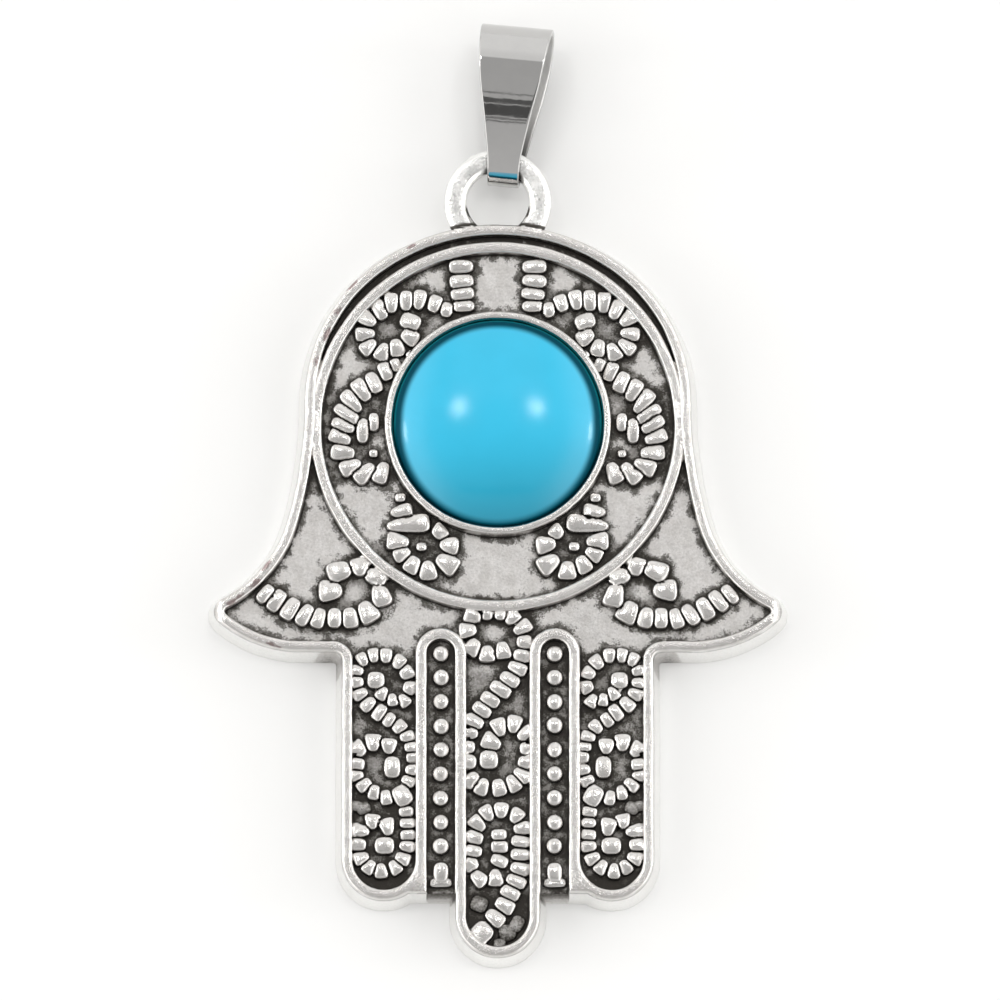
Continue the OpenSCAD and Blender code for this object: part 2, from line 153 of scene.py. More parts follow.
# Relief on the left half, in the photograph's pixels; the right half mirrors it.
# Columns: x, y, length, thickness, direction of the length in degrees anticlockwise from the right
HALF_ROPES = [
    # The stack beside the top of the palm
    [(462, 266.5, 24, 10.5, 0), (462, 281, 24, 11.5, 5), (463, 294, 23, 10, 5), (463.7, 306.2, 21.5, 9, 2)],
    # The upper scroll of the palm
    [(447.5, 309.8, 15, 13.5, 75), (435.2, 303.4, 18, 14.5, 70), (420.3, 299.6, 20, 14, 82),
     (406.6, 300.5, 20.5, 12.5, 88), (391.9, 303, 20, 11.5, 95), (379.9, 309.8, 21, 11, 118),
     (368.1, 319.2, 19, 15, 145), (365.6, 334, 20, 13, 5), (369.4, 346.7, 19, 14, 40),
     (382.9, 352.1, 19, 14, 65), (397.7, 347.9, 18, 12, 105), (410.7, 337, 18, 14, 145)],
    # The middle scroll of the palm
    [(396.3, 365.1, 12.5, 8, 115), (385.8, 371.9, 19, 10, 112), (374.2, 382.5, 22, 12, 118),
     (362.3, 390.6, 24, 12, 122), (352.4, 402, 27, 11, 130), (347.3, 414.3, 28, 10, 148),
     (343.2, 425.6, 25, 10, 155), (340.5, 438, 23, 9, 160), (343.2, 453.1, 24, 11, 175),
     (351.2, 467, 22, 12, 25), (365.4, 473.2, 24, 14, 45), (382, 473.1, 22, 13, 68)],
    # The lower scroll of the palm
    [(402.2, 511.7, 22, 11.5, 3), (409.3, 524.9, 43, 13, 5), (398.8, 541.7, 22, 12, 177),
     (402.5, 554.9, 18, 14, 30), (413, 565.1, 18, 14, 60), (428.7, 570.6, 19, 15, 95),
     (447.2, 563.9, 23, 17, 145), (449.9, 545.4, 19, 14, 175), (440, 532.3, 14, 13, 45)],
    # The wing's scroll
    [(266.4, 594.5, 21, 10, 52), (277.7, 601.2, 23, 13, 55), (291.2, 609.2, 23, 12.5, 60),
     (305.7, 615, 23, 13, 58), (319.6, 618.4, 21, 13, 70), (335, 618.4, 20, 12, 88),
     (351, 618.1, 20, 14, 98), (368.1, 612.3, 22, 15, 118), (381.6, 595.4, 24, 21, 105),
     (377, 577.5, 22, 15, 160), (360.9, 567.4, 18, 18, 100), (340.1, 571.3, 24, 20, 20),
     (331.4, 591.1, 23, 22, 0)],
    # The side finger's upper curl
    [(363.2, 659.8, 14, 12, 115), (374.4, 655.6, 14.5, 11, 95), (386.9, 656, 14.5, 11.5, 88),
     (399.6, 662.6, 15, 12.5, 55), (407.6, 673.4, 14, 13, 30), (410, 687.6, 12.5, 10.5, 165),
     (404.6, 700.4, 14, 13.5, 125), (393.4, 699.8, 13, 9.5, 95), (383, 693.4, 14.5, 12, 60)],
    # The side finger's long bend
    [(358.4, 671.1, 12, 7.5, 165), (358, 682.8, 13, 8, 5), (361.4, 694.4, 15.5, 10, 25),
     (369, 704.4, 17, 12.5, 45), (380.2, 712.8, 17, 11.5, 55), (389.8, 719.8, 15, 12, 55),
     (400.2, 726.6, 15, 11.5, 45), (408, 736.6, 15, 11, 15), (411.6, 746.8, 13, 9.5, 5),
     (413.2, 757.6, 12, 8.5, 5), (412.8, 769.9, 13, 10, 175), (409.3, 780.8, 14, 9.5, 155)],
    # The side finger's middle curl
    [(386.6, 797.2, 15, 11, 100), (375, 792.1, 15, 11.5, 80), (365.4, 784.6, 15.5, 11, 40),
     (358, 775.6, 13.5, 9, 8), (358.2, 764.3, 14, 9, 175), (359.6, 749.2, 16, 13, 135),
     (374.2, 742.2, 17, 15, 90), (390, 746, 15.5, 14, 90)],
    # The side finger's lower curl
    [(407, 811.3, 14.5, 8.5, 5), (408, 822.2, 14.5, 9.5, 0), (408.1, 834.1, 14.5, 9, 5),
     (407.8, 845.7, 15, 10, 172), (403.9, 857.9, 15, 9.5, 155), (395.7, 866.5, 15, 11, 125),
     (382.3, 870, 15, 13, 95), (370.7, 866.2, 14.5, 11, 60), (362.2, 857.1, 15.5, 10.5, 20),
     (360, 843.8, 14.5, 9.5, 172), (362.3, 830.4, 17.5, 12, 170), (373.2, 821, 15, 16, 80),
     (388.3, 826.5, 17.5, 16, 100)]]

# Single lobes of the left half, in the same columns
HALF_PADS = [
    (411.1, 321.7, 21, 16, 160), (411, 355, 9, 7, 30), (363.1, 431.1, 25, 11.5, 90),
    (374.2, 422.5, 18, 10, 90), (374, 454, 8, 7, 0), (401, 498, 10, 8, 0), (422.1, 547.1, 10, 8, 0),
    (377, 680.4, 17, 16.5, 0), (403.2, 795.3, 21, 18, 120), (393.1, 767, 21.5, 15.5, 90),
    (385.5, 845.1, 19.5, 16.5, 0)]

# Relief on the middle finger, in the same columns
MIDDLE_ROPES = [
    # The top curl
    [(473.2, 617.2, 16.5, 10.5, 165), (468.4, 630.8, 17, 12, 0), (473.2, 647.2, 17, 14, 50),
     (488, 654, 17, 15, 90), (503.8, 650.8, 17, 12, 97)],
    # The long bend
    [(513, 618.2, 16, 11, 45), (522.8, 628, 19, 14, 35), (524.8, 642.2, 15, 11, 175),
     (522.6, 655.8, 17, 10, 160), (518, 668.6, 19.5, 10.5, 155), (510.2, 679.4, 21, 11.5, 147),
     (501, 689.8, 22, 15, 147), (491, 700, 20.5, 12.5, 145), (482.8, 710, 20.5, 12, 150),
     (475.2, 721.2, 20, 13, 155), (469.2, 733.2, 19, 11, 172), (466.8, 747.2, 17.5, 11.5, 0),
     (468, 762, 17.5, 12, 0), (471.6, 779, 17, 13, 40), (482.8, 786.4, 18, 15, 70),
     (499.2, 787.2, 17.5, 14, 100), (513.4, 783.2, 18.5, 12.5, 120), (522.6, 774.6, 18, 11.5, 142),
     (526.6, 762.8, 16.5, 10, 170), (528, 748.8, 16, 11, 0), (526.8, 734.2, 18.5, 15, 25),
     (514.8, 724.2, 18, 14.5, 80), (500, 727.4, 18, 17, 110), (492, 742, 20, 12.5, 155)],
    # The lower bend
    [(474.3, 850.1, 16.5, 10, 172), (475.4, 837.2, 17, 10, 165), (478.4, 823.2, 17.5, 13, 138),
     (487.6, 812.8, 17, 12.5, 118), (502, 809.8, 16.5, 16, 90), (516.8, 815, 16, 14, 55),
     (522, 828, 16.5, 10.5, 8), (521.2, 840.9, 18, 10.5, 176), (520.6, 853.7, 19.5, 10.5, 176),
     (520.3, 867.7, 19, 11, 165), (516.6, 880.2, 20, 11.5, 158), (511, 892, 20, 11, 153),
     (505.2, 904.5, 20.5, 15, 148), (495.4, 916.8, 20, 13.5, 143)],
    # The foot of the lower bend
    [(471.8, 863.6, 13.5, 10.5, 10), (479.5, 877.5, 18, 16, 130), (495.5, 876.6, 17, 14, 90)],
    # The short stack
    [(499.9, 834.1, 15, 11, 0), (500.1, 846, 16.5, 11, 0), (500.1, 859.9, 17, 11, 155)]]

MIDDLE_PADS = [
    (487.6, 613.4, 14, 11, 95), (501.4, 614.2, 13, 11, 85), (489.6, 759.8, 18.5, 18, 0),
    (482, 931.8, 22, 21, 45)]

# Low worn lumps on the middle finger's floor, in the same columns
MIDDLE_LUMPS = [
    (480, 902.3, 12, 13, 70), (507.9, 931.2, 12, 12, 20), (500.1, 942.6, 8, 7, 0), (517.7, 921.9, 12, 9, 60)]

# Low lumps of the left half, in the same columns
HALF_LUMPS = [(364.5, 807, 10, 8, 20), (357, 805, 7, 6, 0)]

# Brown tarnish on the rim, in the photograph's pixels. Columns: x, y, width across the rim
STAINS = [
    (352, 285, 8), (338, 312, 7), (327, 335, 8), (316, 362, 7), (412, 247, 5), (268, 567, 7),
    (256, 584, 8), (240, 597, 6), (272, 645, 5), (279, 648, 3), (232, 604, 5)]

# Painted shade in the corner of the outer wall where a wing meets its finger, and how far it reaches
NOOK = (11.3, -16.2)
NOOK_R = 1.1

# Distances to the nearest wall between these are kept with the casting's points
GAP_LOW = -0.2
GAP_HIGH = 1.0

# How much longer a stain is along the rim than across it
STAIN_LENGTH = 2.6

# The table top, and how far it lies under the casting's back
FLOOR_HALF = 400
FLOOR_DROP = 0.02

# The camera stands over the fingers' side by this angle, a long way off, and aims this far to the right
# and up of the picture's middle. The last is the width of its sensor
CAMERA_TILT = 9.27
CAMERA_FAR = 1000.0
CAMERA_SHIFT = (0.047, -0.1)
SENSOR = 36.0


def from_photo(x, y):
    """The point on the relief's top that a pixel of the photograph shows."""
    return np.array([(x - PHOTO_CENTRE[0])*PHOTO_ACROSS, (PHOTO_CENTRE[1] - y)*PHOTO_DOWN])


def ray(degrees):
    """The unit vector at an angle from +X."""
    return np.array([math.cos(math.radians(degrees)), math.sin(math.radians(degrees))])


def make_noise():
    """A smooth random function of a plane, between -1 and 1."""
    cells = 256
    values = rng.uniform(-1, 1, (cells, cells))

    def noise(points, size):
        scaled = points/size + cells
        low = np.floor(scaled).astype(int)
        part = scaled - low
        part = part*part*(3 - 2*part)
        i, j = low[:, 0]%cells, low[:, 1]%cells
        i2, j2 = (i + 1)%cells, (j + 1)%cells
        near = values[i, j]*(1 - part[:, 0]) + values[i2, j]*part[:, 0]
        far = values[i, j2]*(1 - part[:, 0]) + values[i2, j2]*part[:, 0]
        return near*(1 - part[:, 1]) + far*part[:, 1]

    return noise


noise = make_noise()

# The top of the palm is a wide arch that runs into a tighter arc down to the widest place
crown_c = np.array([0, PALM_TOP - CROWN_R])
crown_up = WIDEST_RISE - crown_c[1]
shoulder_r = (CROWN_R**2 - PALM_HALF**2 - crown_up**2)/(2*(CROWN_R - PALM_HALF))
shoulder_c = np.array([PALM_HALF - shoulder_r, WIDEST_RISE])
crown_end = math.degrees(math.atan2(crown_up, shoulder_c[0]))

# The side goes on in a slightly hollow waist and a tighter flank, which meets the wing tip's arc,
# and the belly runs from there to the level bottom edge
tip_c = np.array([WING_X - WING_TIP_R, -WING_DROP])
waist_c = np.array([PALM_HALF + WAIST_R, WIDEST_RISE])
waist_turn = math.degrees(math.asin((WIDEST_RISE + FLANK_TOP)/WAIST_R))
flank_in = ray(waist_turn)
flank_start = waist_c - WAIST_R*flank_in
tip_away = flank_start - tip_c
flank_r = (tip_away@tip_away - WING_TIP_R**2)/(2*(WING_TIP_R - flank_in@tip_away))
flank_c = flank_start + flank_r*flank_in
belly_out = tip_c[0] - WING_BELLY
belly_up = tip_c[1] + WING_BASE
belly_r = (belly_out**2 + belly_up**2 - WING_TIP_R**2)/(2*(belly_up - WING_TIP_R))
belly_c = np.array([WING_BELLY, belly_r - WING_BASE])
flank_turn = math.degrees(math.atan2(flank_c[1] - tip_c[1], flank_c[0] - tip_c[0]))
belly_turn = math.degrees(math.atan2(tip_c[1] - belly_c[1], tip_c[0] - belly_c[0]))
side_c = np.array([FINGER_PITCH, FINGER_R - SIDE_REACH])
middle_c = np.array([0, FINGER_R - MIDDLE_REACH])
armpit_c = np.array([FINGER_PITCH + FINGER_R + ARMPIT_R, -WING_BASE - ARMPIT_R])
channel_x = FINGER_PITCH/2
field_half = FINGER_R - RIM_W
ridge_half = channel_x - field_half
channel_half = ridge_half - RIDGE_W


def arc(centre, radius, start, end, step=EDGE_STEP):
    """Points along an arc. Angles are in degrees."""
    count = max(2, math.ceil(abs(math.radians(end - start))*radius/step))
    angle = np.radians(np.linspace(start, end, count + 1))
    return np.column_stack([centre[0] + radius*np.cos(angle), centre[1] + radius*np.sin(angle)])


def line(start, end, step=EDGE_STEP):
    """Points along a straight stretch, with both ends."""
    start, end = np.array(start, float), np.array(end, float)
    count = max(1, math.ceil(np.linalg.norm(end - start)/step))
    return start + (end - start)*np.linspace(0, 1, count + 1)[:, None]


def web_angle(d):
    """Where the side fingertip's arc, spread by d, meets the web's lower edge."""
    return math.degrees(math.asin((WEB_REACH + side_c[1] + d)/(FINGER_R + d))) - 180


def half_stretches(d):
    """The outline's right half spread by d, from the top round to the middle fingertip. An arc is
    its centre, radius, first and last angle, and a straight stretch is its two ends."""
    web = web_angle(d)
    web_x = side_c[0] + (FINGER_R + d)*math.cos(math.radians(web))
    finger_x = FINGER_PITCH + FINGER_R + d
    return [
        (crown_c, CROWN_R + d, 90, crown_end),
        (shoulder_c, shoulder_r + d, crown_end, 0),
        (waist_c, WAIST_R - d, 180, 180 + waist_turn),
        (flank_c, flank_r - d, 180 + waist_turn, 180 + flank_turn),
        (tip_c, WING_TIP_R + d, flank_turn, belly_turn),
        (belly_c, belly_r + d, belly_turn, -90),
        ((WING_BELLY, -WING_BASE - d), (armpit_c[0], -WING_BASE - d)),
        (armpit_c, ARMPIT_R - d, 90, 180),
        ((finger_x, armpit_c[1]), (finger_x, side_c[1])),
        (side_c, FINGER_R + d, 0, web),
        ((web_x, -WEB_REACH - d), (FINGER_R + d, -WEB_REACH - d)),
        ((FINGER_R + d, -WEB_REACH - d), (FINGER_R + d, middle_c[1])),
        (middle_c, FINGER_R + d, 0, -90)]


def half_outline(d):
    """Points round the outline's right half spread by d."""
    rows = [line(*part) if len(part) == 2 else arc(*part) for part in half_stretches(d)]
    return np.concatenate(rows[:1] + [row[1:] for row in rows[1:]])


def outline(d):
    """The whole outline spread by d, as a closed loop."""
    right = half_outline(d)
    left = right[1:-1][::-1]*[-1, 1]
    return np.concatenate([right, left])


def arc_distance(points, centre, radius, start, end):
    """Distance from an arc between two angles in degrees."""
    away = points - centre
    low, high = min(start, end), max(start, end)
    angle = np.degrees(np.arctan2(away[:, 1], away[:, 0]))
    angle = low + (angle - low)%360
    beyond = angle > high
    near_low = beyond & (angle - high > low + 360 - angle)
    angle = np.where(beyond, np.where(near_low, low, high), angle)
    foot = centre + radius*np.column_stack([np.cos(np.radians(angle)), np.sin(np.radians(angle))])
    return np.linalg.norm(points - foot, axis=1)


def line_distance(points, start, end):
    """Distance from a straight stretch."""
    start, end = np.array(start, float), np.array(end, float)
    along = end - start
    share = np.clip((points - start)@along/(along@along), 0, 1)
    return np.linalg.norm(points - start - share[:, None]*along, axis=1)


def inside(points, loop):
    """Whether each point lies inside a closed loop."""
    x, y = points[:, 0], points[:, 1]
    crossed = np.zeros(len(points), bool)
    for (x1, y1), (x2, y2) in zip(loop, np.roll(loop, -1, axis=0)):
        if y1 != y2:
            crossed ^= ((y1 > y) != (y2 > y)) & (x < (x2 - x1)*(y - y1)/(y2 - y1) + x1)
    return crossed


def outline_distance(points):
    """Signed distance from the hand's outline: positive outside."""
    right = points.copy()
    right[:, 0] = np.abs(right[:, 0])
    distance = np.minimum.reduce([
        line_distance(right, *part) if len(part) == 2 else arc_distance(right, *part)
        for part in half_stretches(0)])
    return np.where(inside(points, outline(0)), -distance, distance)


def frame_depth(points, d):
    """How far inside the edge of the rim and the ridges each point lies: negative off them."""
    x, y = np.abs(points[:, 0]), points[:, 1]
    from_arch = np.hypot(x - channel_x, y + CHANNEL_TOP)
    below = y < -CHANNEL_TOP
    from_channel = np.where(below, np.abs(x - channel_x), from_arch)
    from_finger = np.where(y < side_c[1], np.hypot(x - side_c[0], y - side_c[1]), np.abs(x - side_c[0]))
    legs = np.minimum(x - field_half, from_finger - field_half)
    ridges = np.where(below, legs, ridge_half - from_arch)
    band = np.minimum(-d, d + RIM_W)
    depth = np.maximum(band, np.minimum(ridges, -d))
    return np.minimum(depth, from_channel - channel_half)


def edge_height(depth, top):
    """Height of a raised strip at some depth inside its edge: a steep foot and a round shoulder."""
    share = np.clip(depth/SHOULDER, 0, 1)
    shoulder = top - SHOULDER_DROP*(1 - np.sqrt(1 - (1 - share)**2))
    foot = FLOOR_TOP + (top - SHOULDER_DROP - FLOOR_TOP)*np.clip(1 + depth/FOOT, 0, 1)
    return np.where(depth >= 0, shoulder, foot)


def wall_height(d):
    """Height of the drafted outer wall at some distance outside the outline. Inside the outline it is
    above everything, so that it limits nothing there."""
    return np.where(d > 0, (RIM_TOP - SHOULDER_DROP)*np.clip(1 - d/DRAFT, 0, 1), BEZEL_TOP)


# How far a crease between two lobes reaches, and the share of their height that it takes away
CREASE = 0.16
CREASE_DEPTH = 0.4

# The share of a lobe's half width that its steep side takes, and the most that its top leans
LOBE_SIDE = 0.075
LOBE_LEAN = 0.1

# Distances to a lobe are worked out up to this far from its end, and are FAR beyond
LOBE_REACH = 1.5
FAR = 5.0

# The floor's and the strips' unevenness. Columns: size of its grain, height
FLOOR_GRAIN = [(0.6, 0.014), (0.27, 0.006)]
STRIP_GRAIN = (0.9, 0.01)

# How the front's points are moved sideways. Columns: place in the noise, size of its grain, distance
SWAY = [(0, 1.3, 0.016), (80, 0.5, 0.008)]


class Lobe:
    """A raised grain of the relief. Its level lines are rounded wedges."""

    def __init__(self, centre, direction, length, thickness, height, taper=0.0, square=3.0, dome=0.32,
                 creased=True):
        self.centre = np.array(centre, float)
        self.along = ray(direction)
        self.across = ray(direction + 90)
        self.half_l = length/2
        self.half_t = thickness/2
        self.height = height
        self.taper = taper
        self.square = square
        self.dome = dome
        self.creased = creased
        self.tilt = rng.uniform(-LOBE_LEAN, LOBE_LEAN, 2)

    def width(self, u):
        """Half the thickness at a place along the lobe, from -1 to 1."""
        return self.half_t*(1 + self.taper*np.clip(u, -1.2, 1.2))

    def level(self, points):
        """0 at the lobe's middle, 1 at its foot."""
        away = points - self.centre
        u = away@self.along/self.half_l
        v = away@self.across/self.width(u)
        return (np.abs(u)**self.square + np.abs(v)**self.square)**(1/self.square)

    def rise(self, points):
        """Height over the floor."""
        level = np.clip(self.level(points), 0, 1)
        away = points - self.centre
        lean = 1 + self.tilt[0]*(away@self.along)/self.half_l + self.tilt[1]*(away@self.across)/self.half_t
        inward = np.clip((1 - level)/LOBE_SIDE, 0, 1)
        wall = np.sqrt(1 - (1 - inward)**2)
        return self.height*lean*((1 - self.dome)*wall + self.dome*np.sqrt(1 - level**2))

    def ring(self, level, count):
        """Points round the lobe on one level line."""
        angle = np.linspace(0, 2*math.pi, count, endpoint=False)
        power = 2/self.square
        u, v = (level*np.sign(turn)*np.abs(turn)**power for turn in (np.cos(angle), np.sin(angle)))
        return self.centre + np.outer(u*self.half_l, self.along) + np.outer(v*self.width(u), self.across)


# How much longer a lobe is at its foot than the bright part that the photograph shows, the groove
# left between the feet of two lobes of a rope, and the lobes' height over the floor
LOBE_FOOT = 0.1
LOBE_GROOVE = 0.02
LOBE_HEIGHT = 0.68

# The most that a lobe widens to the outside of a bend, and that it is broad for its bright part
MOST_TAPER = 0.38
MOST_BROAD = 1.48

# The same for the low worn lumps: height over the floor, and how much longer they are at the foot
LUMP_HEIGHT = 0.27
LUMP_FOOT = 0.36


def bend(centres, i):
    """How sharply a rope bends at lobe i, in radians a millimetre, and the direction away from the bend."""
    i = min(max(i, 1), len(centres) - 2)
    before, after = centres[i] - centres[i - 1], centres[i + 1] - centres[i]
    turn = math.atan2(before[0]*after[1] - before[1]*after[0], before@after)
    ahead = (before + after)/np.linalg.norm(before + after)
    outward = math.copysign(1, turn)*np.array([ahead[1], -ahead[0]])
    return abs(turn)*2/(np.linalg.norm(before) + np.linalg.norm(after)), outward


def rope_lobes(rope, side):
    """The lobes of one rope. side is 1 as the table has it, or -1 for its mirror image."""
    centres = [from_photo(x, y)*[side, 1] for x, y, _, _, _ in rope]
    lobes = []
    for i, (_, _, length, thickness, direction) in enumerate(rope):
        sharpness, outward = bend(centres, i) if len(rope) > 2 else (0, ray(0))
        turned = direction if side > 0 else 180 - direction
        half_l = length*PHOTO_ACROSS/2
        taper = float(np.clip(sharpness*half_l*(ray(turned)@outward), -MOST_TAPER, MOST_TAPER))
        near = centres[max(i - 1, 0):i + 2]
        pitch = np.linalg.norm(np.diff(near, axis=0), axis=1).mean()
        broad = min(pitch - LOBE_GROOVE, MOST_BROAD*thickness*PHOTO_ACROSS)
        lobes.append(Lobe(
            centres[i] + rng.normal(0, 0.012, 2), turned + rng.normal(0, 2),
            (length*PHOTO_ACROSS + LOBE_FOOT)*rng.uniform(0.98, 1.03), broad*rng.uniform(0.97, 1.01),
            LOBE_HEIGHT*rng.uniform(0.92, 1.08), taper, rng.uniform(2.8, 4.0)))
    return lobes


def pad_lobes(pads, side, height, foot=LOBE_FOOT):
    """Single lobes, each as one row of a table has it. Low ones run into one another."""
    lobes = []
    for x, y, length, thickness, direction in pads:
        turned = direction if side > 0 else 180 - direction
        lobes.append(Lobe(
            from_photo(x, y)*[side, 1], turned, length*PHOTO_ACROSS + foot,
            thickness*PHOTO_ACROSS + foot, height*rng.uniform(0.95, 1.05), creased=height > LUMP_HEIGHT))
    return lobes


def channel_lobes(side):
    """The beads of one channel, with the stem and the cross bar under the last one."""
    x = side*channel_x
    lobes = []
    for i in range(BEAD_COUNT - 1):
        centre = np.array([x, -CHANNEL_TOP - i*BEAD_PITCH]) + rng.normal(0, 0.015, 2)
        width, length = BEAD_D*rng.uniform(1.12, 1.2, 2)
        lobes.append(Lobe(centre, 0, width, length, BEAD_RISE, square=2.1, dome=0.5))
    last = -CHANNEL_TOP - (BEAD_COUNT - 1)*BEAD_PITCH
    bar = RIM_W - WEB_REACH
    top = last + 0.55
    lobes.append(Lobe((x, (top + bar)/2), 90, top - bar, STEM_W, STEM_RISE, square=2.9, creased=False))
    lobes.append(Lobe((x, bar), 0, BAR_L, BAR_W, BAR_RISE, square=4, creased=False))
    return lobes


def all_lobes():
    """Every lobe, bead and lump of the relief."""
    lobes = []
    for side in (1, -1):
        for rope in HALF_ROPES:
            lobes += rope_lobes(rope, side)
        lobes += pad_lobes(HALF_PADS, side, LOBE_HEIGHT)
        lobes += pad_lobes(HALF_LUMPS, side, LUMP_HEIGHT, LUMP_FOOT)
        lobes += channel_lobes(side)
    for rope in MIDDLE_ROPES:
        lobes += rope_lobes(rope, 1)
    lobes += pad_lobes(MIDDLE_PADS, 1, LOBE_HEIGHT)
    lobes += pad_lobes(MIDDLE_LUMPS, 1, LUMP_HEIGHT, LUMP_FOOT)
    return lobes


lobes = all_lobes()


def lobe_field(points):
    """The lobes' height over the floor, the distance to the nearest lobe, and where two lobes meet."""
    rise = np.zeros(len(points))
    gap = np.full(len(points), FAR)
    second = np.full(len(points), FAR)
    for lobe in lobes:
        reach = lobe.half_l + LOBE_REACH
        near = np.flatnonzero(np.max(np.abs(points - lobe.centre), axis=1) < reach)
        close = points[near]
        level = lobe.level(close)
        away = np.linalg.norm(close - lobe.centre, axis=1)
        here = away*(1 - 1/np.maximum(level, 0.05))
        if lobe.creased:
            second[near] = np.minimum(second[near], np.maximum(gap[near], here))
        gap[near] = np.minimum(gap[near], here)
        rise[near] = np.maximum(rise[near], lobe.rise(close))
    meeting = np.where(gap < 0.03, np.clip(1 - (second - gap)/CREASE, 0, 1), 0)
    return rise*(1 - CREASE_DEPTH*meeting**2), gap, meeting


def front(points):
    """Height of the casting's front, the distance to the nearest wall, and where two lobes meet."""
    d = outline_distance(points)
    depth = frame_depth(points, d)
    r = np.linalg.norm(points, axis=1)
    ring_r = np.hypot(points[:, 0], points[:, 1] + RING_DROP)
    ring_depth = np.minimum(RING_R - ring_r, ring_r - FIELD_R)
    bezel_depth = np.minimum(BEZEL_R - r, r - CUP_R)
    rise, gap, meeting = lobe_field(points)
    uneven = sum(height*noise(points, size) for size, height in FLOOR_GRAIN)
    parts = [FLOOR_TOP + uneven + rise]
    for strip, top in ((depth, RIM_TOP), (ring_depth, RING_TOP), (bezel_depth, BEZEL_TOP)):
        strip_top = top + STRIP_GRAIN[1]*noise(points + top, STRIP_GRAIN[0])
        parts.append(np.where(strip > -FOOT, edge_height(strip, strip_top), 0))
        gap = np.minimum(gap, -strip)
    height = np.maximum.reduce(parts)
    meeting = np.where(height > parts[0] + 0.01, 0, meeting)
    height = np.where(r < CUP_R - FOOT, CUP_FLOOR, height)
    worn = RIM_TOP - TIP_SLOPE*(np.abs(points[:, 0]) - WING_X + TIP_WEAR)
    return np.minimum.reduce([height, wall_height(d), worn]), gap, meeting


def sway(points):
    """Moves points a little sideways, so that no edge is quite true."""
    moved = points
    for offset, grain, distance in SWAY:
        shift = [noise(points + offset, grain), noise(points + offset + 40, grain)]
        moved = moved + np.column_stack(shift)*distance
    return moved


class Plan:
    """Points and edges that the front's mesh follows."""

    def __init__(self):
        self.points = []
        self.own = []
        self.edges = []
        self.count = 0

    def add(self, points, own, closed=False, linked=True):
        """Adds a row of points whose surface has the height own there."""
        start = self.count
        size = len(points)
        self.points.append(points)
        self.own.append(np.broadcast_to(np.asarray(own, float), size))
        self.count += size
        if linked:
            self.edges += [(start + i, start + i + 1) for i in range(size - 1)]
            if closed:
                self.edges.append((start + size - 1, start))


# Depths inside an edge and levels round a lobe that get a row of points
SHOULDER_ROWS = [-FOOT, 0] + [SHOULDER*share for share in (0.07, 0.22, 0.45, 0.72, 1.0)]
LOBE_ROWS = [1.03, 0.99, 0.965, 0.925, 0.82, 0.58, 0.3]

# How far outside a lobe's foot its outermost ring of points lies, and how far open floor starts
HALO = 0.12
OPEN = 0.16

# The angle round a side fingertip at which the ridge's wall ends
RIDGE_TURN = 229

# Planned points that lie this far under the surface are left out
BURIED = 0.06


def hairpin(half, left_end, right_end):
    """Points up the left of a channel, round its arch, and down its right."""
    left, right = channel_x - half, channel_x + half
    return np.concatenate([
        line((left, left_end), (left, -CHANNEL_TOP))[:-1],
        arc((channel_x, -CHANNEL_TOP), half, 180, 0),
        line((right, -CHANNEL_TOP), (right, right_end))[1:]])


def plan_frame(plan):
    """Rows along the rim, the ridges and the channels."""
    for share in (1.0, 0.66, 0.33, 0.08):
        plan.add(outline(DRAFT*share), wall_height(DRAFT*share), closed=True)
    for depth in SHOULDER_ROWS[1:]:
        plan.add(outline(-depth), edge_height(depth, RIM_TOP), closed=True)
    for depth in SHOULDER_ROWS:
        plan.add(outline(depth - RIM_W), edge_height(depth, RIM_TOP), closed=True)
    mouth = -WEB_REACH - 0.8*DRAFT
    ridge_end = 0.4 - WEB_REACH
    for side in (1, -1):
        for depth in SHOULDER_ROWS:
            channel = hairpin(channel_half + depth, mouth, mouth)
            ridge = hairpin(ridge_half - depth, ridge_end, side_c[1])[:-1]
            ridge = np.concatenate([ridge, arc(side_c, field_half + depth, 180, RIDGE_TURN)])
            for wall in (channel, ridge):
                plan.add(wall*[side, 1], edge_height(depth, RIM_TOP))


def plan_rings(plan):
    """Rows along the palm ring and the bezel."""
    for depth in SHOULDER_ROWS:
        for centre, radius, top in (((0, -RING_DROP), RING_R - depth, RING_TOP),
                                    ((0, -RING_DROP), FIELD_R + depth, RING_TOP),
                                    ((0, 0), BEZEL_R - depth, BEZEL_TOP), ((0, 0), CUP_R + depth, BEZEL_TOP)):
            plan.add(arc(centre, radius, 0, 360)[:-1], edge_height(depth, top), closed=True)
    for radius in (CUP_R - 2*FOOT, CUP_R - 0.6, 0.5*CUP_R):
        plan.add(arc((0, 0), radius, 0, 360)[:-1], CUP_FLOOR, closed=True)
    for side in (1, -1):
        worn = side*(WING_X - TIP_WEAR)
        plan.add(line((worn, -WING_DROP - 0.9), (worn, -WING_DROP + 0.8), 0.15), RIM_TOP)


def plan_lobes(plan):
    """Rings round every lobe, with one outside its foot."""
    for lobe in lobes:
        count = 18 if lobe.half_l > 0.45 else 14
        halo = 1 + HALO/lobe.half_t
        plan.add(lobe.ring(halo, count), FLOOR_TOP, closed=True, linked=False)
        for level in LOBE_ROWS:
            points = lobe.ring(level, count)
            plan.add(points, FLOOR_TOP + lobe.rise(points), closed=True, linked=level > 0.9)
        plan.add(lobe.centre[None], FLOOR_TOP + lobe.height)


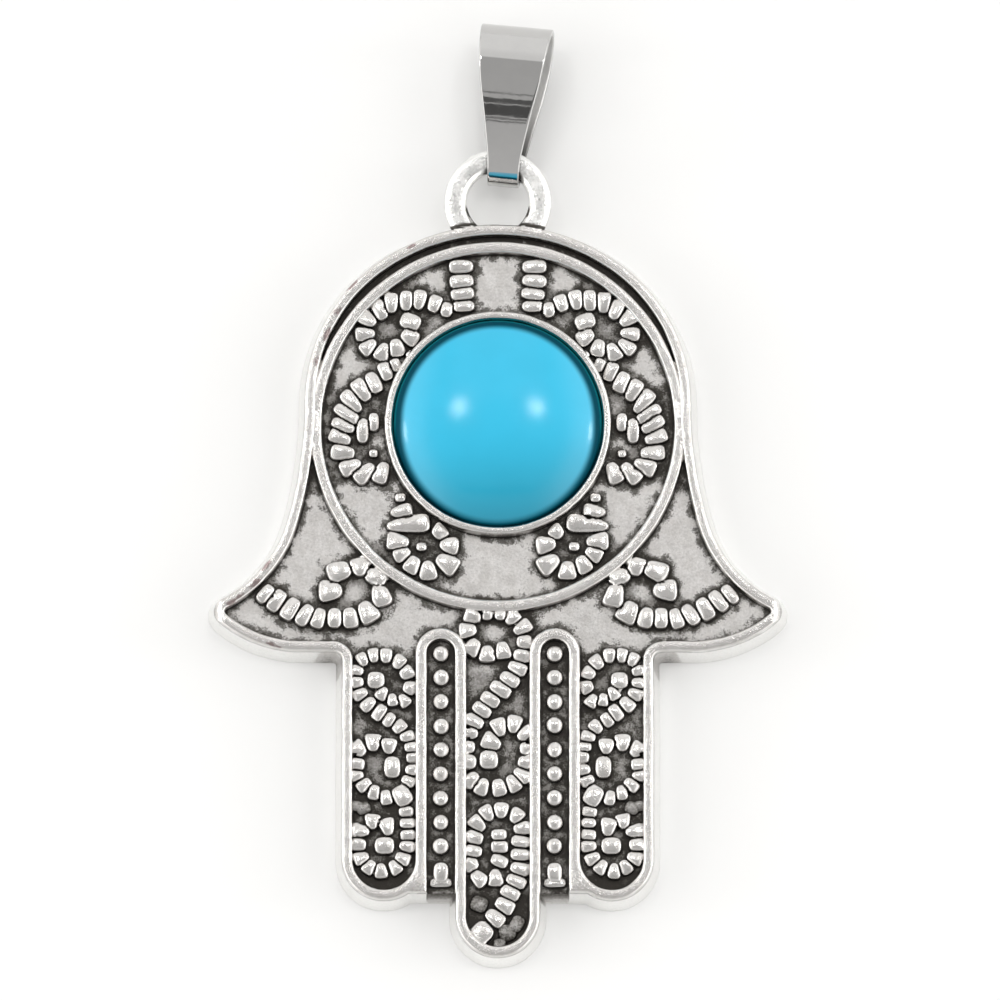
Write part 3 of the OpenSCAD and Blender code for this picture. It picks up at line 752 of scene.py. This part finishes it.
def plan_floor(plan):
    """Scattered points for the open floors."""
    xs = np.arange(-WING_X, WING_X, FLOOR_STEP)
    ys = np.arange(-MIDDLE_REACH, PALM_TOP, FLOOR_STEP*math.sqrt(3)/2)
    grid = np.array([(x + (j%2)*FLOOR_STEP/2, y) for j, y in enumerate(ys) for x in xs])
    grid += rng.uniform(-0.2, 0.2, grid.shape)*FLOOR_STEP
    height, gap, _ = front(grid)
    open_floor = (gap > OPEN) & (np.abs(height - FLOOR_TOP) < 0.1)
    plan.add(grid[open_floor], FLOOR_TOP, linked=False)


def triangulate(points, edges, border, merge):
    """Points and triangles inside a border that follow the given edges. Nearer points than merge
    become one."""
    result = delaunay_2d_cdt([Vector(p) for p in points], edges, [], 0, merge, False)
    flat, triangles = np.array(result[0]), np.array(result[2])
    return flat, triangles[inside(flat[triangles].mean(axis=1), border)]


def front_mesh():
    """Vertices and triangles of the casting's front and sides, in millimetres, and its lower edge."""
    plan = Plan()
    plan_frame(plan)
    plan_rings(plan)
    plan_lobes(plan)
    plan_floor(plan)
    points = np.concatenate(plan.points)
    border = plan.points[0]
    keep = np.concatenate(plan.own) > front(points)[0] - BURIED
    keep[:len(border)] = True
    number = np.cumsum(keep) - 1
    edges = [(int(number[a]), int(number[b])) for a, b in plan.edges if keep[a] and keep[b]]
    flat, triangles = triangulate(points[keep], edges, border, 1e-3)
    height = front(flat)[0]
    height[outline_distance(flat) > DRAFT - 0.01] = 0
    return np.column_stack([sway(flat), height]), triangles, border


def back_mesh(border):
    """The flat back inside the hand's lower edge."""
    low, high = border.min(axis=0), border.max(axis=0)
    xs, ys = np.arange(low[0], high[0], BACK_STEP), np.arange(low[1], high[1], BACK_STEP)
    scatter = BACK_STEP/5
    grid = np.array([(x, y) for x in xs for y in ys]) + rng.uniform(-scatter, scatter, (len(xs)*len(ys), 2))
    grid = grid[outline_distance(grid) < -0.2]
    edges = [(i, (i + 1)%len(border)) for i in range(len(border))]
    flat, triangles = triangulate(np.concatenate([border, grid]), edges, border, 1e-5)
    return np.column_stack([sway(flat), np.zeros(len(flat))]), triangles[:, ::-1]


def bail_curl():
    """Inner radius of the bail's curl, from the eyelet's wire that it holds."""
    wire_r = EYELET_R - EYELET_WIRE/2
    wire_in = EYELET_R - EYELET_WIRE
    yaw = math.radians(abs(BAIL_SHIFT - BAIL_LEAN))
    reach = BAIL_NARROW/2 + wire_r*math.sin(yaw)
    return wire_r*math.cos(yaw) - math.sqrt(wire_in**2 - reach**2) + BAIL_SLACK


hinge = np.array(frame["joints"][0]["pos_m"])/MM


def new_object(name, points, faces):
    """A mesh object from points in millimetres."""
    mesh = bpy.data.meshes.new(name)
    mesh.from_pydata((np.asarray(points)*MM).tolist(), [], [list(map(int, face)) for face in faces])
    mesh.validate()
    piece = bpy.data.objects.new(name, mesh)
    bpy.context.scene.collection.objects.link(piece)
    return piece


def smooth(piece, degrees):
    """Smooth shading that breaks at edges sharper than an angle."""
    piece.data.shade_smooth()
    piece.data.set_sharp_from_angle(angle=math.radians(degrees))


def tube_faces(rows, size, closed=False):
    """Quads between rows of size points each. A closed tube's last row joins its first."""
    faces = []
    for k in range(rows if closed else rows - 1):
        here, on = k*size, (k + 1)%rows*size
        for i in range(size):
            j = (i + 1)%size
            faces.append((here + i, on + i, on + j, here + j))
    return faces


def eyelet_mesh():
    """The eyelet's wire as a bevelled ring, cut off where it runs into the arch's rim."""
    half_w, half_t = EYELET_WIRE/2, EYELET_T/2
    bevel = half_t/2
    round_r = 0.12
    corners = [(half_w, bevel - half_t), (half_w, half_t - bevel), (half_w - bevel, half_t),
               (bevel - half_w, half_t), (-half_w, half_t - bevel), (-half_w, bevel - half_t),
               (bevel - half_w, -half_t), (half_w - bevel, -half_t)]
    section = []
    for i, corner in enumerate(corners):
        here = np.array(corner)
        before, after = np.array(corners[i - 1]), np.array(corners[(i + 1)%len(corners)])
        start = here + (before - here)/np.linalg.norm(before - here)*round_r
        end = here + (after - here)/np.linalg.norm(after - here)*round_r
        for share in (0, 0.33, 0.67, 1):
            section.append(start*(1 - share)**2 + 2*here*share*(1 - share) + end*share**2)
    wire_r = EYELET_R - half_w
    cut_r = CROWN_R - RIM_W/2
    far = EYELET_RISE - crown_c[1]
    columns = 110
    uneven, flare = 0.006, 0.06
    points = []
    for k in range(columns + 1):
        for out, up in section:
            radius = wire_r + out
            cut = math.acos((far**2 + radius**2 - cut_r**2)/(2*far*radius))
            angle = -math.pi/2 + cut + (2*math.pi - 2*cut)*k/columns
            end = abs(2*k/columns - 1)**12
            lift = uneven*math.sin(7*angle) + flare*end*math.copysign(1, up)
            points.append((radius*math.cos(angle), EYELET_RISE + radius*math.sin(angle),
                           hinge[2] + up + lift))
    size = len(section)
    faces = tube_faces(columns + 1, size)
    faces.append(list(range(size)))
    faces.append([columns*size + i for i in range(size)][::-1])
    return np.array(points), faces


def crowding(points):
    """How much of the hand is raised round about each point, from 0 to 1."""
    step = 0.15
    reach = 0.75
    low = np.array([-21.0, -38.0])
    size = np.array([280, 360])
    xs, ys = low[0] + step*np.arange(size[0]), low[1] + step*np.arange(size[1])
    grid = np.stack(np.meshgrid(xs, ys, indexing="ij"), axis=-1).reshape(-1, 2)
    raised = (front(grid)[1] < 0).astype(float).reshape(size)
    waves = np.add.outer(np.fft.fftfreq(size[0], step)**2, np.fft.fftfreq(size[1], step)**2)
    share = np.fft.ifft2(np.fft.fft2(raised)*np.exp(-2*(math.pi*reach)**2*waves)).real
    cell = np.clip(((points - low)/step).astype(int), 0, size - 1)
    return share[cell[:, 0], cell[:, 1]]


def fade(value, low, high):
    """0 up to low, 1 from high on."""
    return np.clip((value - low)/(high - low), 0, 1)


# How dark the silver is in places, from 0 to 1. The moat is the floor outside the palm ring. The nook's and
# the web's darkness is painted shade on the outer wall
OPEN_TONE = 0.2
MOST_CROWDED_TONE = 0.5
FINGER_TONE = 0.43
CHANNEL_TONE = 0.45
SIDE_TIP_TONE = 0.85
MIDDLE_TIP_TONE = 0.78
MOAT_TONE = 0.9
LOW_MOAT_TONE = 0.22
NOOK_SHADE = 0.7
WEB_SHADE = 0.7

# How far below the stone's centre the darkness of the side and the middle fingertips starts
SIDE_TIP_TOP = 29.3
MIDDLE_TIP_TOP = 30.2


def floor_tone(plan):
    """How dark each place of the floor is, from 0 to 1."""
    x, y = np.abs(plan[:, 0]), plan[:, 1]
    r = np.linalg.norm(plan, axis=1)
    in_channel = (np.abs(x - channel_x) < channel_half) & (y < channel_half - CHANNEL_TOP)
    return np.maximum.reduce([
        np.full(len(plan), OPEN_TONE),
        np.interp(crowding(plan), [0.28, 0.48], [0, MOST_CROWDED_TONE]),
        FINGER_TONE*fade(-y, WING_BASE + 0.3, WING_BASE + 1.5)*(x < FINGER_PITCH + FINGER_R),
        CHANNEL_TONE*in_channel,
        SIDE_TIP_TONE*fade(-y, SIDE_TIP_TOP, SIDE_TIP_TOP + 1.2)*(x > 5),
        MIDDLE_TIP_TONE*fade(-y, MIDDLE_TIP_TOP, MIDDLE_TIP_TOP + 1.5)*(x < FINGER_R),
        MOAT_TONE*fade(r, RING_R + 0.02, RING_R + 0.07)*(y > 2),
        LOW_MOAT_TONE*fade(r, RING_R, RING_R + 0.5)*(y < -9.5)*(x < 11)])


def tarnish_share(plan):
    """How tarnished each point is, from 0 to 1. Stains are long along the outline."""
    share = np.zeros(len(plan))
    step = 0.05
    for x_px, y_px, width in STAINS:
        spot = from_photo(x_px, y_px)
        ahead = outline_distance(spot + step*np.array([[1, 0], [-1, 0], [0, 1], [0, -1]]))
        normal = np.array([ahead[0] - ahead[1], ahead[2] - ahead[3]])/(2*step)
        away = plan - spot
        across, along = away@normal, away@np.array([-normal[1], normal[0]])
        out = np.hypot(across, along/STAIN_LENGTH)/(0.5*width*PHOTO_ACROSS)
        share = np.maximum(share, np.clip(1.3 - out, 0, 1))
    return share


def wear_and_shade(points):
    """What the silver's look depends on at each point: the distance to the nearest wall, the
    general darkness, tarnish, and where two lobes meet, with painted shade on the outer wall and the eyelet's
    flat face."""
    plan, z = points[:, :2], points[:, 2]
    x, y = np.abs(plan[:, 0]), plan[:, 1]
    d = outline_distance(plan)
    _, gap, meeting = front(plan)
    tone = floor_tone(plan)
    apart = (d > 0.005) | (z < 0.01)
    cup = (np.linalg.norm(plan, axis=1) < CUP_R + 0.02) & (z < BEZEL_TOP - 0.15)
    tone = np.where(cup, np.interp(z, [CUP_FLOOR, BEZEL_TOP], [0.6, 0.15]), tone)

    # The eyelet is dark where it runs into the arch, and painted shade makes its flat face a little darker
    # than its bevels
    eyelet_r = np.hypot(x, y - EYELET_RISE)
    crown_d = np.hypot(x, y - crown_c[1]) - CROWN_R
    on_eyelet = (eyelet_r < EYELET_R + 0.05) & (crown_d > -0.02)
    inner = eyelet_r < EYELET_R - 0.7*EYELET_WIRE
    seam = np.interp(crown_d, [0, 0.12, 0.4], [1, 0.8, 0])
    seam = np.maximum(seam, inner*np.interp(crown_d, [0.9, 1.6], [1, 0.25])*(z < 2.42))
    face = np.abs(eyelet_r - EYELET_R + EYELET_WIRE/2) < EYELET_WIRE/2 - EYELET_T/4 - 0.03
    tone = np.where(on_eyelet, np.maximum(seam, 0.15*face), tone)
    meeting = np.where(on_eyelet, np.maximum(seam, 0.42*face), meeting)

    # The outer wall has no darkness, but for painted shade in the nook and a painted shadow on the web at a
    # channel's mouth, darkest at its top edge
    nook = fade(-np.hypot(x - NOOK[0], y - NOOK[1]), -NOOK_R, 0)
    web = (d > -0.03) & (np.abs(x - channel_x) < channel_half + 0.02) & (np.abs(y + WEB_REACH + 0.2) < 0.4)
    tone = np.where(apart, NOOK_SHADE*nook, tone)
    tone = np.where(web, np.interp(z, [0.3, FLOOR_TOP], [0, WEB_SHADE]), tone)

    gap = np.where(apart | cup | on_eyelet, GAP_HIGH, gap)
    share = fade(gap, GAP_LOW, GAP_HIGH)
    stain = np.where(z > FLOOR_TOP + 0.3, tarnish_share(plan), 0)
    return np.column_stack([share, tone, stain, meeting])


def store_wear_and_shade(piece):
    """Keeps the casting's wear and painted shade with its points."""
    mesh = piece.data
    points = np.empty(len(mesh.vertices)*3)
    mesh.vertices.foreach_get("co", points)
    colours = wear_and_shade(points.reshape(-1, 3)/MM)
    layer = mesh.attributes.new("wear_and_shade", "FLOAT_COLOR", "POINT")
    layer.data.foreach_set("color", colours.ravel())


def join_solid(piece, other):
    """Joins another closed piece into this one, and deletes the other."""
    modifier = piece.modifiers.new("join", "BOOLEAN")
    modifier.operation = "UNION"
    modifier.solver = "MANIFOLD"
    modifier.object = other
    depsgraph = bpy.context.evaluated_depsgraph_get()
    joined = bpy.data.meshes.new_from_object(piece.evaluated_get(depsgraph))
    piece.modifiers.clear()
    piece.data = joined
    bpy.data.objects.remove(other)


def make_hand():
    """The casting: front, sides, back and eyelet in one closed mesh."""
    top, top_faces, border = front_mesh()
    bottom, bottom_faces = back_mesh(border)
    faces = np.concatenate([top_faces, bottom_faces + len(top)])
    piece = new_object("hand", np.concatenate([top, bottom]), faces)
    shell = bmesh.new()
    shell.from_mesh(piece.data)
    bmesh.ops.remove_doubles(shell, verts=shell.verts, dist=1e-4*MM)
    shell.to_mesh(piece.data)
    shell.free()
    join_solid(piece, new_object("eyelet", *eyelet_mesh()))
    store_wear_and_shade(piece)
    smooth(piece, 55)
    return piece


def lathe(profile, columns):
    """Points and faces of a closed lathed shape. The profile runs from the axis to the axis."""
    points = [(0, 0, profile[0][1])]
    for r, z in profile[1:-1]:
        for k in range(columns):
            angle = 2*math.pi*k/columns
            points.append((r*math.cos(angle), r*math.sin(angle), z))
    points.append((0, 0, profile[-1][1]))
    rings = len(profile) - 2
    faces = [(0, 1 + (k + 1)%columns, 1 + k) for k in range(columns)]
    faces += [(1 + a, 1 + d, 1 + c, 1 + b) for a, b, c, d in tube_faces(rings, columns)]
    last = 1 + (rings - 1)*columns
    faces += [(last + k, last + (k + 1)%columns, len(points) - 1) for k in range(columns)]
    return points, faces


def make_stone():
    """The cabochon: a flat back, an upright edge and an elliptic crown."""
    base = CUP_FLOOR + STONE_GAP
    crown = STONE_T - STONE_EDGE
    profile = [(0, base), (STONE_R*0.5, base), (STONE_R - 0.15, base), (STONE_R - 0.04, base + 0.04),
               (STONE_R, base + 0.15), (STONE_R, base + 0.5*STONE_EDGE)]
    steps = 36
    for i in range(steps):
        angle = 0.5*math.pi*i/steps
        profile.append((STONE_R*math.cos(angle), base + STONE_EDGE + crown*math.sin(angle)))
    profile.append((0, base + STONE_T))
    points, faces = lathe(profile, 144)
    piece = new_object("stone", points, faces)
    smooth(piece, 60)
    return piece


def bail_width(y, curl_out):
    """Width of the bail at a place along its length, with the taper's corners rounded off."""
    shares, widths = zip(*BAIL_TAPER)
    here = (y + curl_out)/BAIL_L
    near = [np.interp(here + shift, shares, widths) for shift in (-0.05, -0.025, 0, 0.025, 0.05)]
    return BAIL_NARROW + (BAIL_WIDE - BAIL_NARROW)*sum(near)/len(near)


def leaf(start, end, out, turn, crisp=False):
    """Inner points of a leaf between two bends, with the outward direction at each. The leaf is
    bowed outwards so that it turns by an angle at either end. A crisp one ends in two clear bends."""
    along = end - start
    length = np.linalg.norm(along)
    bow = length*math.tan(math.radians(turn))/4
    count = math.ceil(length/0.12)
    points = []
    shares = list(np.arange(1, count)/count)
    for share in [0.012, *shares, 0.988] if crisp else shares:
        lean = 4*bow*(1 - 2*share)/length
        points.append((start + along*share + out*4*bow*share*(1 - share), out - along/length*lean))
    return points


def bail_path():
    """Points along the middle of the bail's strip, with the outward direction at each."""
    curl_mid = bail_curl() + BAIL_T/2
    fold_mid = BAIL_DEPTH/2 - BAIL_T/2
    curl_out = curl_mid + BAIL_T/2
    fold_c = np.array([BAIL_L - curl_out - BAIL_DEPTH/2, BAIL_DEPTH/2 - curl_out])
    front_angle = 90 + 2*math.degrees(math.atan2(fold_c[1], fold_c[0]))

    def curve(centre, radius, start, end, count):
        return [(centre + radius*ray(angle), ray(angle)) for angle in np.linspace(start, end, count + 1)]

    origin = np.zeros(2)
    lip = curve(origin, curl_mid, front_angle + BOW_TURN, FLAT_START, 1)
    flat_out = ray((FLAT_START + FLAT_END)/2)
    curl = curve(origin, curl_mid, FLAT_END, 270, 28)
    fold = curve(fold_c, fold_mid, -90, front_angle - BOW_TURN, 60)
    path = lip + leaf(lip[-1][0], curl[0][0], flat_out, FLAT_TURN, crisp=True) + curl
    path += leaf(curl[-1][0], fold[0][0], ray(-90), 0) + fold
    return path + leaf(fold[-1][0], lip[0][0], ray(front_angle), BOW_TURN), curl_out


def make_bail():
    """The bail: a tapered strip folded into a closed loop round the eyelet's wire."""
    half_t = BAIL_T/2
    soft = 0.1
    path, curl_out = bail_path()
    points = []
    inner = []
    for at, out in path:
        out = out/np.linalg.norm(out)
        half_w = bail_width(at[0], curl_out)/2
        edge = [(half_w - a*soft, half_t - b*soft)
                for a, b in ((0, 1), (0.08, 0.62), (0.3, 0.3), (0.62, 0.08), (1, 0), (1.8, 0))]
        top = edge + [(0.35*half_w, half_t), (-0.35*half_w, half_t)] + [(-x, z) for x, z in reversed(edge)]
        for x, z in top + [(x, -z) for x, z in reversed(top)]:
            place = at + out*z
            points.append((x, place[0], place[1]))
            inner.append(float(z < 0))
    faces = tube_faces(len(path), len(points)//len(path), closed=True)
    turn = Matrix.Rotation(math.radians(-BAIL_LEAN), 4, "Z")@Matrix.Rotation(math.radians(-BAIL_ROLL), 4, "Y")
    piece = new_object("bail_strip", [turn@Vector(p) + Vector(hinge) for p in points], faces)
    piece.data.attributes.new("inside", "FLOAT", "POINT").data.foreach_set("value", inner)
    smooth(piece, 50)
    return piece


class Nodes:
    """A node tree under construction."""

    def __init__(self, tree, place):
        self.tree = tree
        self.place = self.node("TexCoord").outputs[place]

    def node(self, kind, inputs=(), **settings):
        """A new node. Its inputs go by name or number, each with an output to link or a plain value."""
        node = self.tree.nodes.new("ShaderNode" + kind)
        for name, value in settings.items():
            setattr(node, name, value)
        for key, value in dict(inputs).items():
            self.link(value, node.inputs[key])
        return node

    def link(self, source, target):
        """Joins an output to an input, or sets the input to a number, a vector or a colour."""
        if isinstance(source, bpy.types.NodeSocket):
            self.tree.links.new(source, target)
        else:
            target.default_value = (*source, 1) if isinstance(source, tuple) else source

    def axes(self):
        """The three coordinates of the place."""
        return tuple(self.node("SeparateXYZ", {0: self.place}).outputs)

    def noise(self, size, detail=4, rough=0.6):
        """Noise whose grains are about size millimetres."""
        return self.node("TexNoise", {"Vector": self.place, "Scale": 1/(size*MM), "Detail": detail,
                                      "Roughness": rough}).outputs["Fac"]

    def math(self, operation, *values):
        """One arithmetic step."""
        return self.node("Math", enumerate(values), operation=operation).outputs[0]

    def jitter(self, noise, size):
        """Noise round zero, from about -size/5 to size/5."""
        return self.math("MULTIPLY_ADD", noise, size, -size/2)

    def spread(self, value, low, high, out_low=0.0, out_high=1.0):
        """Maps low..high onto another range, with soft ends."""
        inputs = {"Value": value, "From Min": low, "From Max": high, "To Min": out_low, "To Max": out_high}
        return self.node("MapRange", inputs, interpolation_type="SMOOTHSTEP").outputs[0]

    def ragged(self, value, noise, size, *reach):
        """The same for a value that noise roughens first."""
        return self.spread(self.math("ADD", value, self.jitter(noise, size)), *reach)

    def mix(self, share, a, b, kind="MIX"):
        """Blends two colours."""
        return self.node("Mix", {"Factor": share, 6: a, 7: b}, data_type="RGBA", blend_type=kind).outputs[2]

    def blend(self, share, a, b):
        """Blends two numbers."""
        return self.node("Mix", {"Factor": share, 2: a, 3: b}).outputs[0]

    def ramp(self, value, stops):
        """Colours along a value. Each stop is a place and a colour."""
        node = self.node("ValToRGB", {0: value})
        elements = node.color_ramp.elements
        while len(elements) < len(stops):
            elements.new(0.5)
        for element, (place, colour) in zip(elements, stops):
            element.position = place
            element.color = (*colour, 1)
        return node.outputs[0]

    def toward(self, direction):
        """Cosine of the angle between the place, taken as a direction, and another direction."""
        inputs = {0: self.place, 1: Vector(direction).normalized()}
        return self.node("VectorMath", inputs, operation="DOT_PRODUCT").outputs["Value"]


class Finish(Nodes):
    """A material under construction."""

    def __init__(self, name):
        self.material = bpy.data.materials.new(name)
        self.material.use_nodes = True
        super().__init__(self.material.node_tree, "Object")
        self.shader = self.tree.nodes["Principled BSDF"]

    def surface(self, inputs):
        """Sets or links the shader's inputs."""
        for name, value in inputs.items():
            self.link(value, self.shader.inputs[name])

    def bump(self, height, depth):
        """Bump of some millimetres on the shader."""
        node = self.node("Bump", {"Distance": depth*MM, "Height": height})
        self.surface({"Normal": node.outputs["Normal"]})


# How the silver darkens. Columns: patina, what the bare metal's colour is multiplied by
PATINA = [(0.0, (1, 1, 1)), (0.26, (0.78, 0.78, 0.78)), (0.42, (0.42, 0.415, 0.41)),
          (0.6, (0.24, 0.235, 0.225)), (0.8, (0.12, 0.116, 0.108)), (1.0, (0.062, 0.058, 0.053))]


def antiqued_silver():
    """Cast silver, worn bright on its high places and blackened in its hollows, with painted shade on parts
    of the outer wall and on the eyelet's flat face.
    """
    n = Finish("antiqued_silver")
    layer = n.node("Attribute", attribute_name="wear_and_shade")
    share, tone, stain = n.node("SeparateColor", {0: layer.outputs["Color"]}).outputs[:3]
    meeting = layer.outputs["Alpha"]
    gap = n.math("MULTIPLY_ADD", share, GAP_HIGH - GAP_LOW, GAP_LOW)
    over = n.math("MULTIPLY_ADD", n.axes()[2], 1/MM, -FLOOR_TOP)
    fine = n.noise(0.15, 4, 0.65)
    cloud = n.noise(0.75, 3, 0.55)
    grain = n.noise(0.09, 2, 0.7)

    # On the floor and the walls: a black line at the foot of a wall, and grime that fades away from it, added
    # to the tone, which also holds painted shade
    ragged = n.math("ADD", n.jitter(grain, 0.3), n.jitter(cloud, 0.45))
    foot_line = n.spread(n.math("ADD", gap, ragged), 0.06, 0.17, 1.0, 0.0)
    blurred = n.math("ADD", n.jitter(cloud, 1.9), n.jitter(grain, 1.1))
    soft = n.spread(n.math("ADD", gap, blurred), 0.02, 0.5, 0.5, 0.0)
    grime_and_shade = n.math("ADD", n.math("ADD", tone, soft), n.jitter(fine, 0.55))
    low = n.math("MAXIMUM", foot_line, grime_and_shade)

    # On the lobes and rims: creases, low sides and a few specks. The creases' darkness also carries painted
    # shade on the eyelet's flat face
    crease = n.ragged(meeting, fine, 0.5, 0.3, 0.75, 0.0, 0.95)
    low_side = n.ragged(over, fine, 0.3, 0.34, 0.62, 0.34, 0.0)
    high = n.math("MAXIMUM", n.math("MAXIMUM", crease, low_side), n.spread(fine, 0.6, 0.8, 0.0, 0.3))

    floor_share = n.ragged(over, fine, 0.2, 0.13, 0.3, 1.0, 0.0)
    patina = n.blend(floor_share, high, low)
    warm = n.mix(n.spread(cloud, 0.4, 0.65), (0.735, 0.718, 0.70), (0.665, 0.645, 0.625))
    # Where the tone is nearly 0, on the outer wall and the eyelet's bevels, the metal is lighter, so the
    # eyelet's flat face keeps the darker colour as painted shade
    warm = n.mix(n.spread(tone, 0.03, 0.12), (0.93, 0.925, 0.91), warm)
    shade = n.mix(1.0, warm, n.ramp(patina, PATINA), "MULTIPLY")
    tarnish = n.ragged(stain, fine, 0.8, 0.35, 0.75, 0.0, 0.85)
    polish = n.blend(floor_share, n.spread(cloud, 0.3, 0.7, 0.17, 0.28), 0.34)
    n.surface({"Base Color": n.mix(tarnish, shade, (0.3, 0.225, 0.22)), "Metallic": 1.0,
               "Roughness": n.blend(n.spread(patina, 0.2, 0.7), polish, 0.5)})
    n.bump(n.math("ADD", fine, n.math("MULTIPLY", n.noise(0.4, 3), 1.2)), 0.012)
    return n.material


def turquoise():
    """Smooth sky-blue stone, darker below, with painted shade round its edge and painted light turning the
    very edge teal, under a clear gloss.
    """
    n = Finish("turquoise")
    x, y, _ = n.axes()
    out = n.math("SQRT", n.math("ADD", n.math("MULTIPLY", x, x), n.math("MULTIPLY", y, y)))
    out = n.math("MULTIPLY_ADD", n.math("MINIMUM", y, 0.0), 0.06, out)
    # Painted shade darkens the stone towards its edge, over a wider band at the top than at the bottom, and
    # weakens its gloss there
    edge = n.spread(out, STONE_DARKENS[0]*MM, STONE_DARKENS[1]*MM)
    fall = n.spread(n.math("MULTIPLY_ADD", x, 0.1, n.math("MULTIPLY", y, -1)), 0.0, 8*MM)
    bright = n.mix(n.spread(n.noise(3.0, 3, 0.5), 0.3, 0.7), (0.017, 0.475, 0.73), (0.014, 0.455, 0.70))
    body = n.mix(fall, bright, (0.006, 0.28, 0.415))
    # At the very edge, where the bezel hides the stone from the light, painted light turns the dark edge teal
    edge_glow = n.spread(out, STONE_EDGE_GLOW[0]*MM, STONE_EDGE_GLOW[1]*MM)
    edge_shade_and_glow = n.mix(edge_glow, (0.001, 0.055, 0.085), (0.012, 0.27, 0.32))
    n.surface({"Base Color": n.mix(edge, body, edge_shade_and_glow), "Roughness": 0.4,
               "Specular IOR Level": n.blend(edge, 0.25, 0.02),
               "Coat Weight": n.blend(edge, 0.8, 0.03), "Coat Roughness": 0.16})
    n.bump(n.noise(1.6, 2), 0.003)
    return n.material


def polished_silver():
    """Bright plated strip with a slightly uneven polish, left satin inside the loop, where painted shade
    darkens it towards the curl.
    """
    n = Finish("polished_silver")
    inner = n.node("Attribute", attribute_name="inside").outputs["Fac"]
    outer = n.mix(n.noise(1.4, 3), (0.58, 0.575, 0.565), (0.53, 0.525, 0.52))
    # Inside the loop, painted shade darkens the strip towards its curl round the eyelet's wire
    up = n.spread(n.axes()[1], 17.5*MM, 22*MM)
    satin_with_shade = n.mix(up, (0.1, 0.098, 0.095), (0.62, 0.615, 0.605))
    polish = n.spread(n.noise(0.5, 4), 0.35, 0.7, 0.02, 0.045)
    n.surface({"Base Color": n.mix(inner, outer, satin_with_shade), "Metallic": 1.0,
               "Roughness": n.blend(inner, polish, 0.42)})
    n.bump(n.noise(1.2, 2), 0.0015)
    return n.material


def dress(piece, material, body, node):
    """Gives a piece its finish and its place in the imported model."""
    piece.data.materials.clear()
    piece.data.materials.append(material)
    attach(piece, body)
    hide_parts(node)


def make_floor():
    """A plain pale table top."""
    corners = [(x*FLOOR_HALF, y*FLOOR_HALF, -FLOOR_DROP) for x, y in ((-1, -1), (1, -1), (1, 1), (-1, 1))]
    floor = new_object("floor", corners, [(0, 1, 2, 3)])
    n = Finish("pale_floor")
    n.surface({"Base Color": (0.88, 0.88, 0.875), "Roughness": 0.9, "Specular IOR Level": 0.1})
    floor.data.materials.append(n.material)


# The studio's light by direction: a grey ceiling, bright walls to the left and right, two soft lamps
# overhead and a low one at each side, a brighter band beyond the eyelet's end, and dark strips on the
# fingers' side that the bail's leaf mirrors
CEILING = 0.57
END_WALL = 0.7
SIDE_WALL = 1.85
BAND = 0.4

# Columns: direction, angles at which the lamp ends and is full, strength
LAMPS = [((0.29, 0.25, 0.924), 5, 1, 15), ((-0.29, 0.25, 0.924), 5, 1, 15),
         ((0.955, 0.05, 0.29), 7, 4, 9), ((-0.955, 0.05, 0.29), 7, 4, 9)]

# Columns: lowest y, highest y, share of light taken away
DARK_STRIPS = [(-0.4652, -0.4606, 0.5), (-0.4930, -0.4779, 0.78), (-0.5292, -0.4960, 0.82),
               (-0.5383, -0.5322, 0.6), (-0.5467, -0.5419, 0.65)]


def make_light():
    """Soft studio light, brighter from the left and right."""
    world = bpy.data.worlds.new("studio")
    bpy.context.scene.world = world
    world.use_nodes = True
    n = Nodes(world.node_tree, "Generated")
    x, y, z = n.axes()
    across = n.math("ABSOLUTE", x)
    wall = n.spread(across, 0.35, 0.85, END_WALL, SIDE_WALL)
    strength = n.blend(n.spread(z, 0.68, 0.93), wall, CEILING)
    before = n.spread(across, 0.3, 0.45, 1.0, 0.0)
    beyond = n.math("MULTIPLY", n.spread(y, 0.28, 0.34), before)
    strength = n.math("ADD", strength, n.math("MULTIPLY", beyond, BAND))
    for low, high, taken in DARK_STRIPS:
        inside_strip = n.math("MULTIPLY", n.math("GREATER_THAN", y, low), n.math("LESS_THAN", y, high))
        share = n.math("MULTIPLY", n.math("MULTIPLY", inside_strip, before), taken)
        strength = n.math("MULTIPLY", strength, n.math("SUBTRACT", 1.0, share))
    for direction, end, full, power in LAMPS:
        end, full = math.cos(math.radians(end)), math.cos(math.radians(full))
        strength = n.math("ADD", strength, n.spread(n.toward(direction), end, full, 0.0, power))
    background = world.node_tree.nodes["Background"]
    n.link(strength, background.inputs["Strength"])
    n.link((1.0, 0.995, 0.985), background.inputs["Color"])


def make_camera():
    """A long lens at the photograph's angle."""
    data = bpy.data.cameras.new("camera")
    data.sensor_width = SENSOR
    data.lens = SENSOR*CAMERA_FAR/(PHOTO_SIZE*PHOTO_ACROSS)
    data.clip_start = 0.01
    data.clip_end = 10
    camera = bpy.data.objects.new("camera", data)
    bpy.context.scene.collection.objects.link(camera)
    target = np.append(from_photo(PHOTO_SIZE/2, PHOTO_SIZE/2) + CAMERA_SHIFT, RIM_TOP)
    tilt = math.radians(CAMERA_TILT)
    camera.location = Vector(target + CAMERA_FAR*np.array([0, -math.sin(tilt), math.cos(tilt)]))*MM
    camera.rotation_euler = (tilt, 0, 0)
    bpy.context.scene.camera = camera


make_camera()
make_light()
make_floor()
dress(make_hand(), antiqued_silver(), "pendant", "hamsa_casting")
dress(make_stone(), turquoise(), "pendant", "cabochon")
dress(make_bail(), polished_silver(), "bail", "bail")
bpy.context.scene.view_settings.view_transform = "Standard"
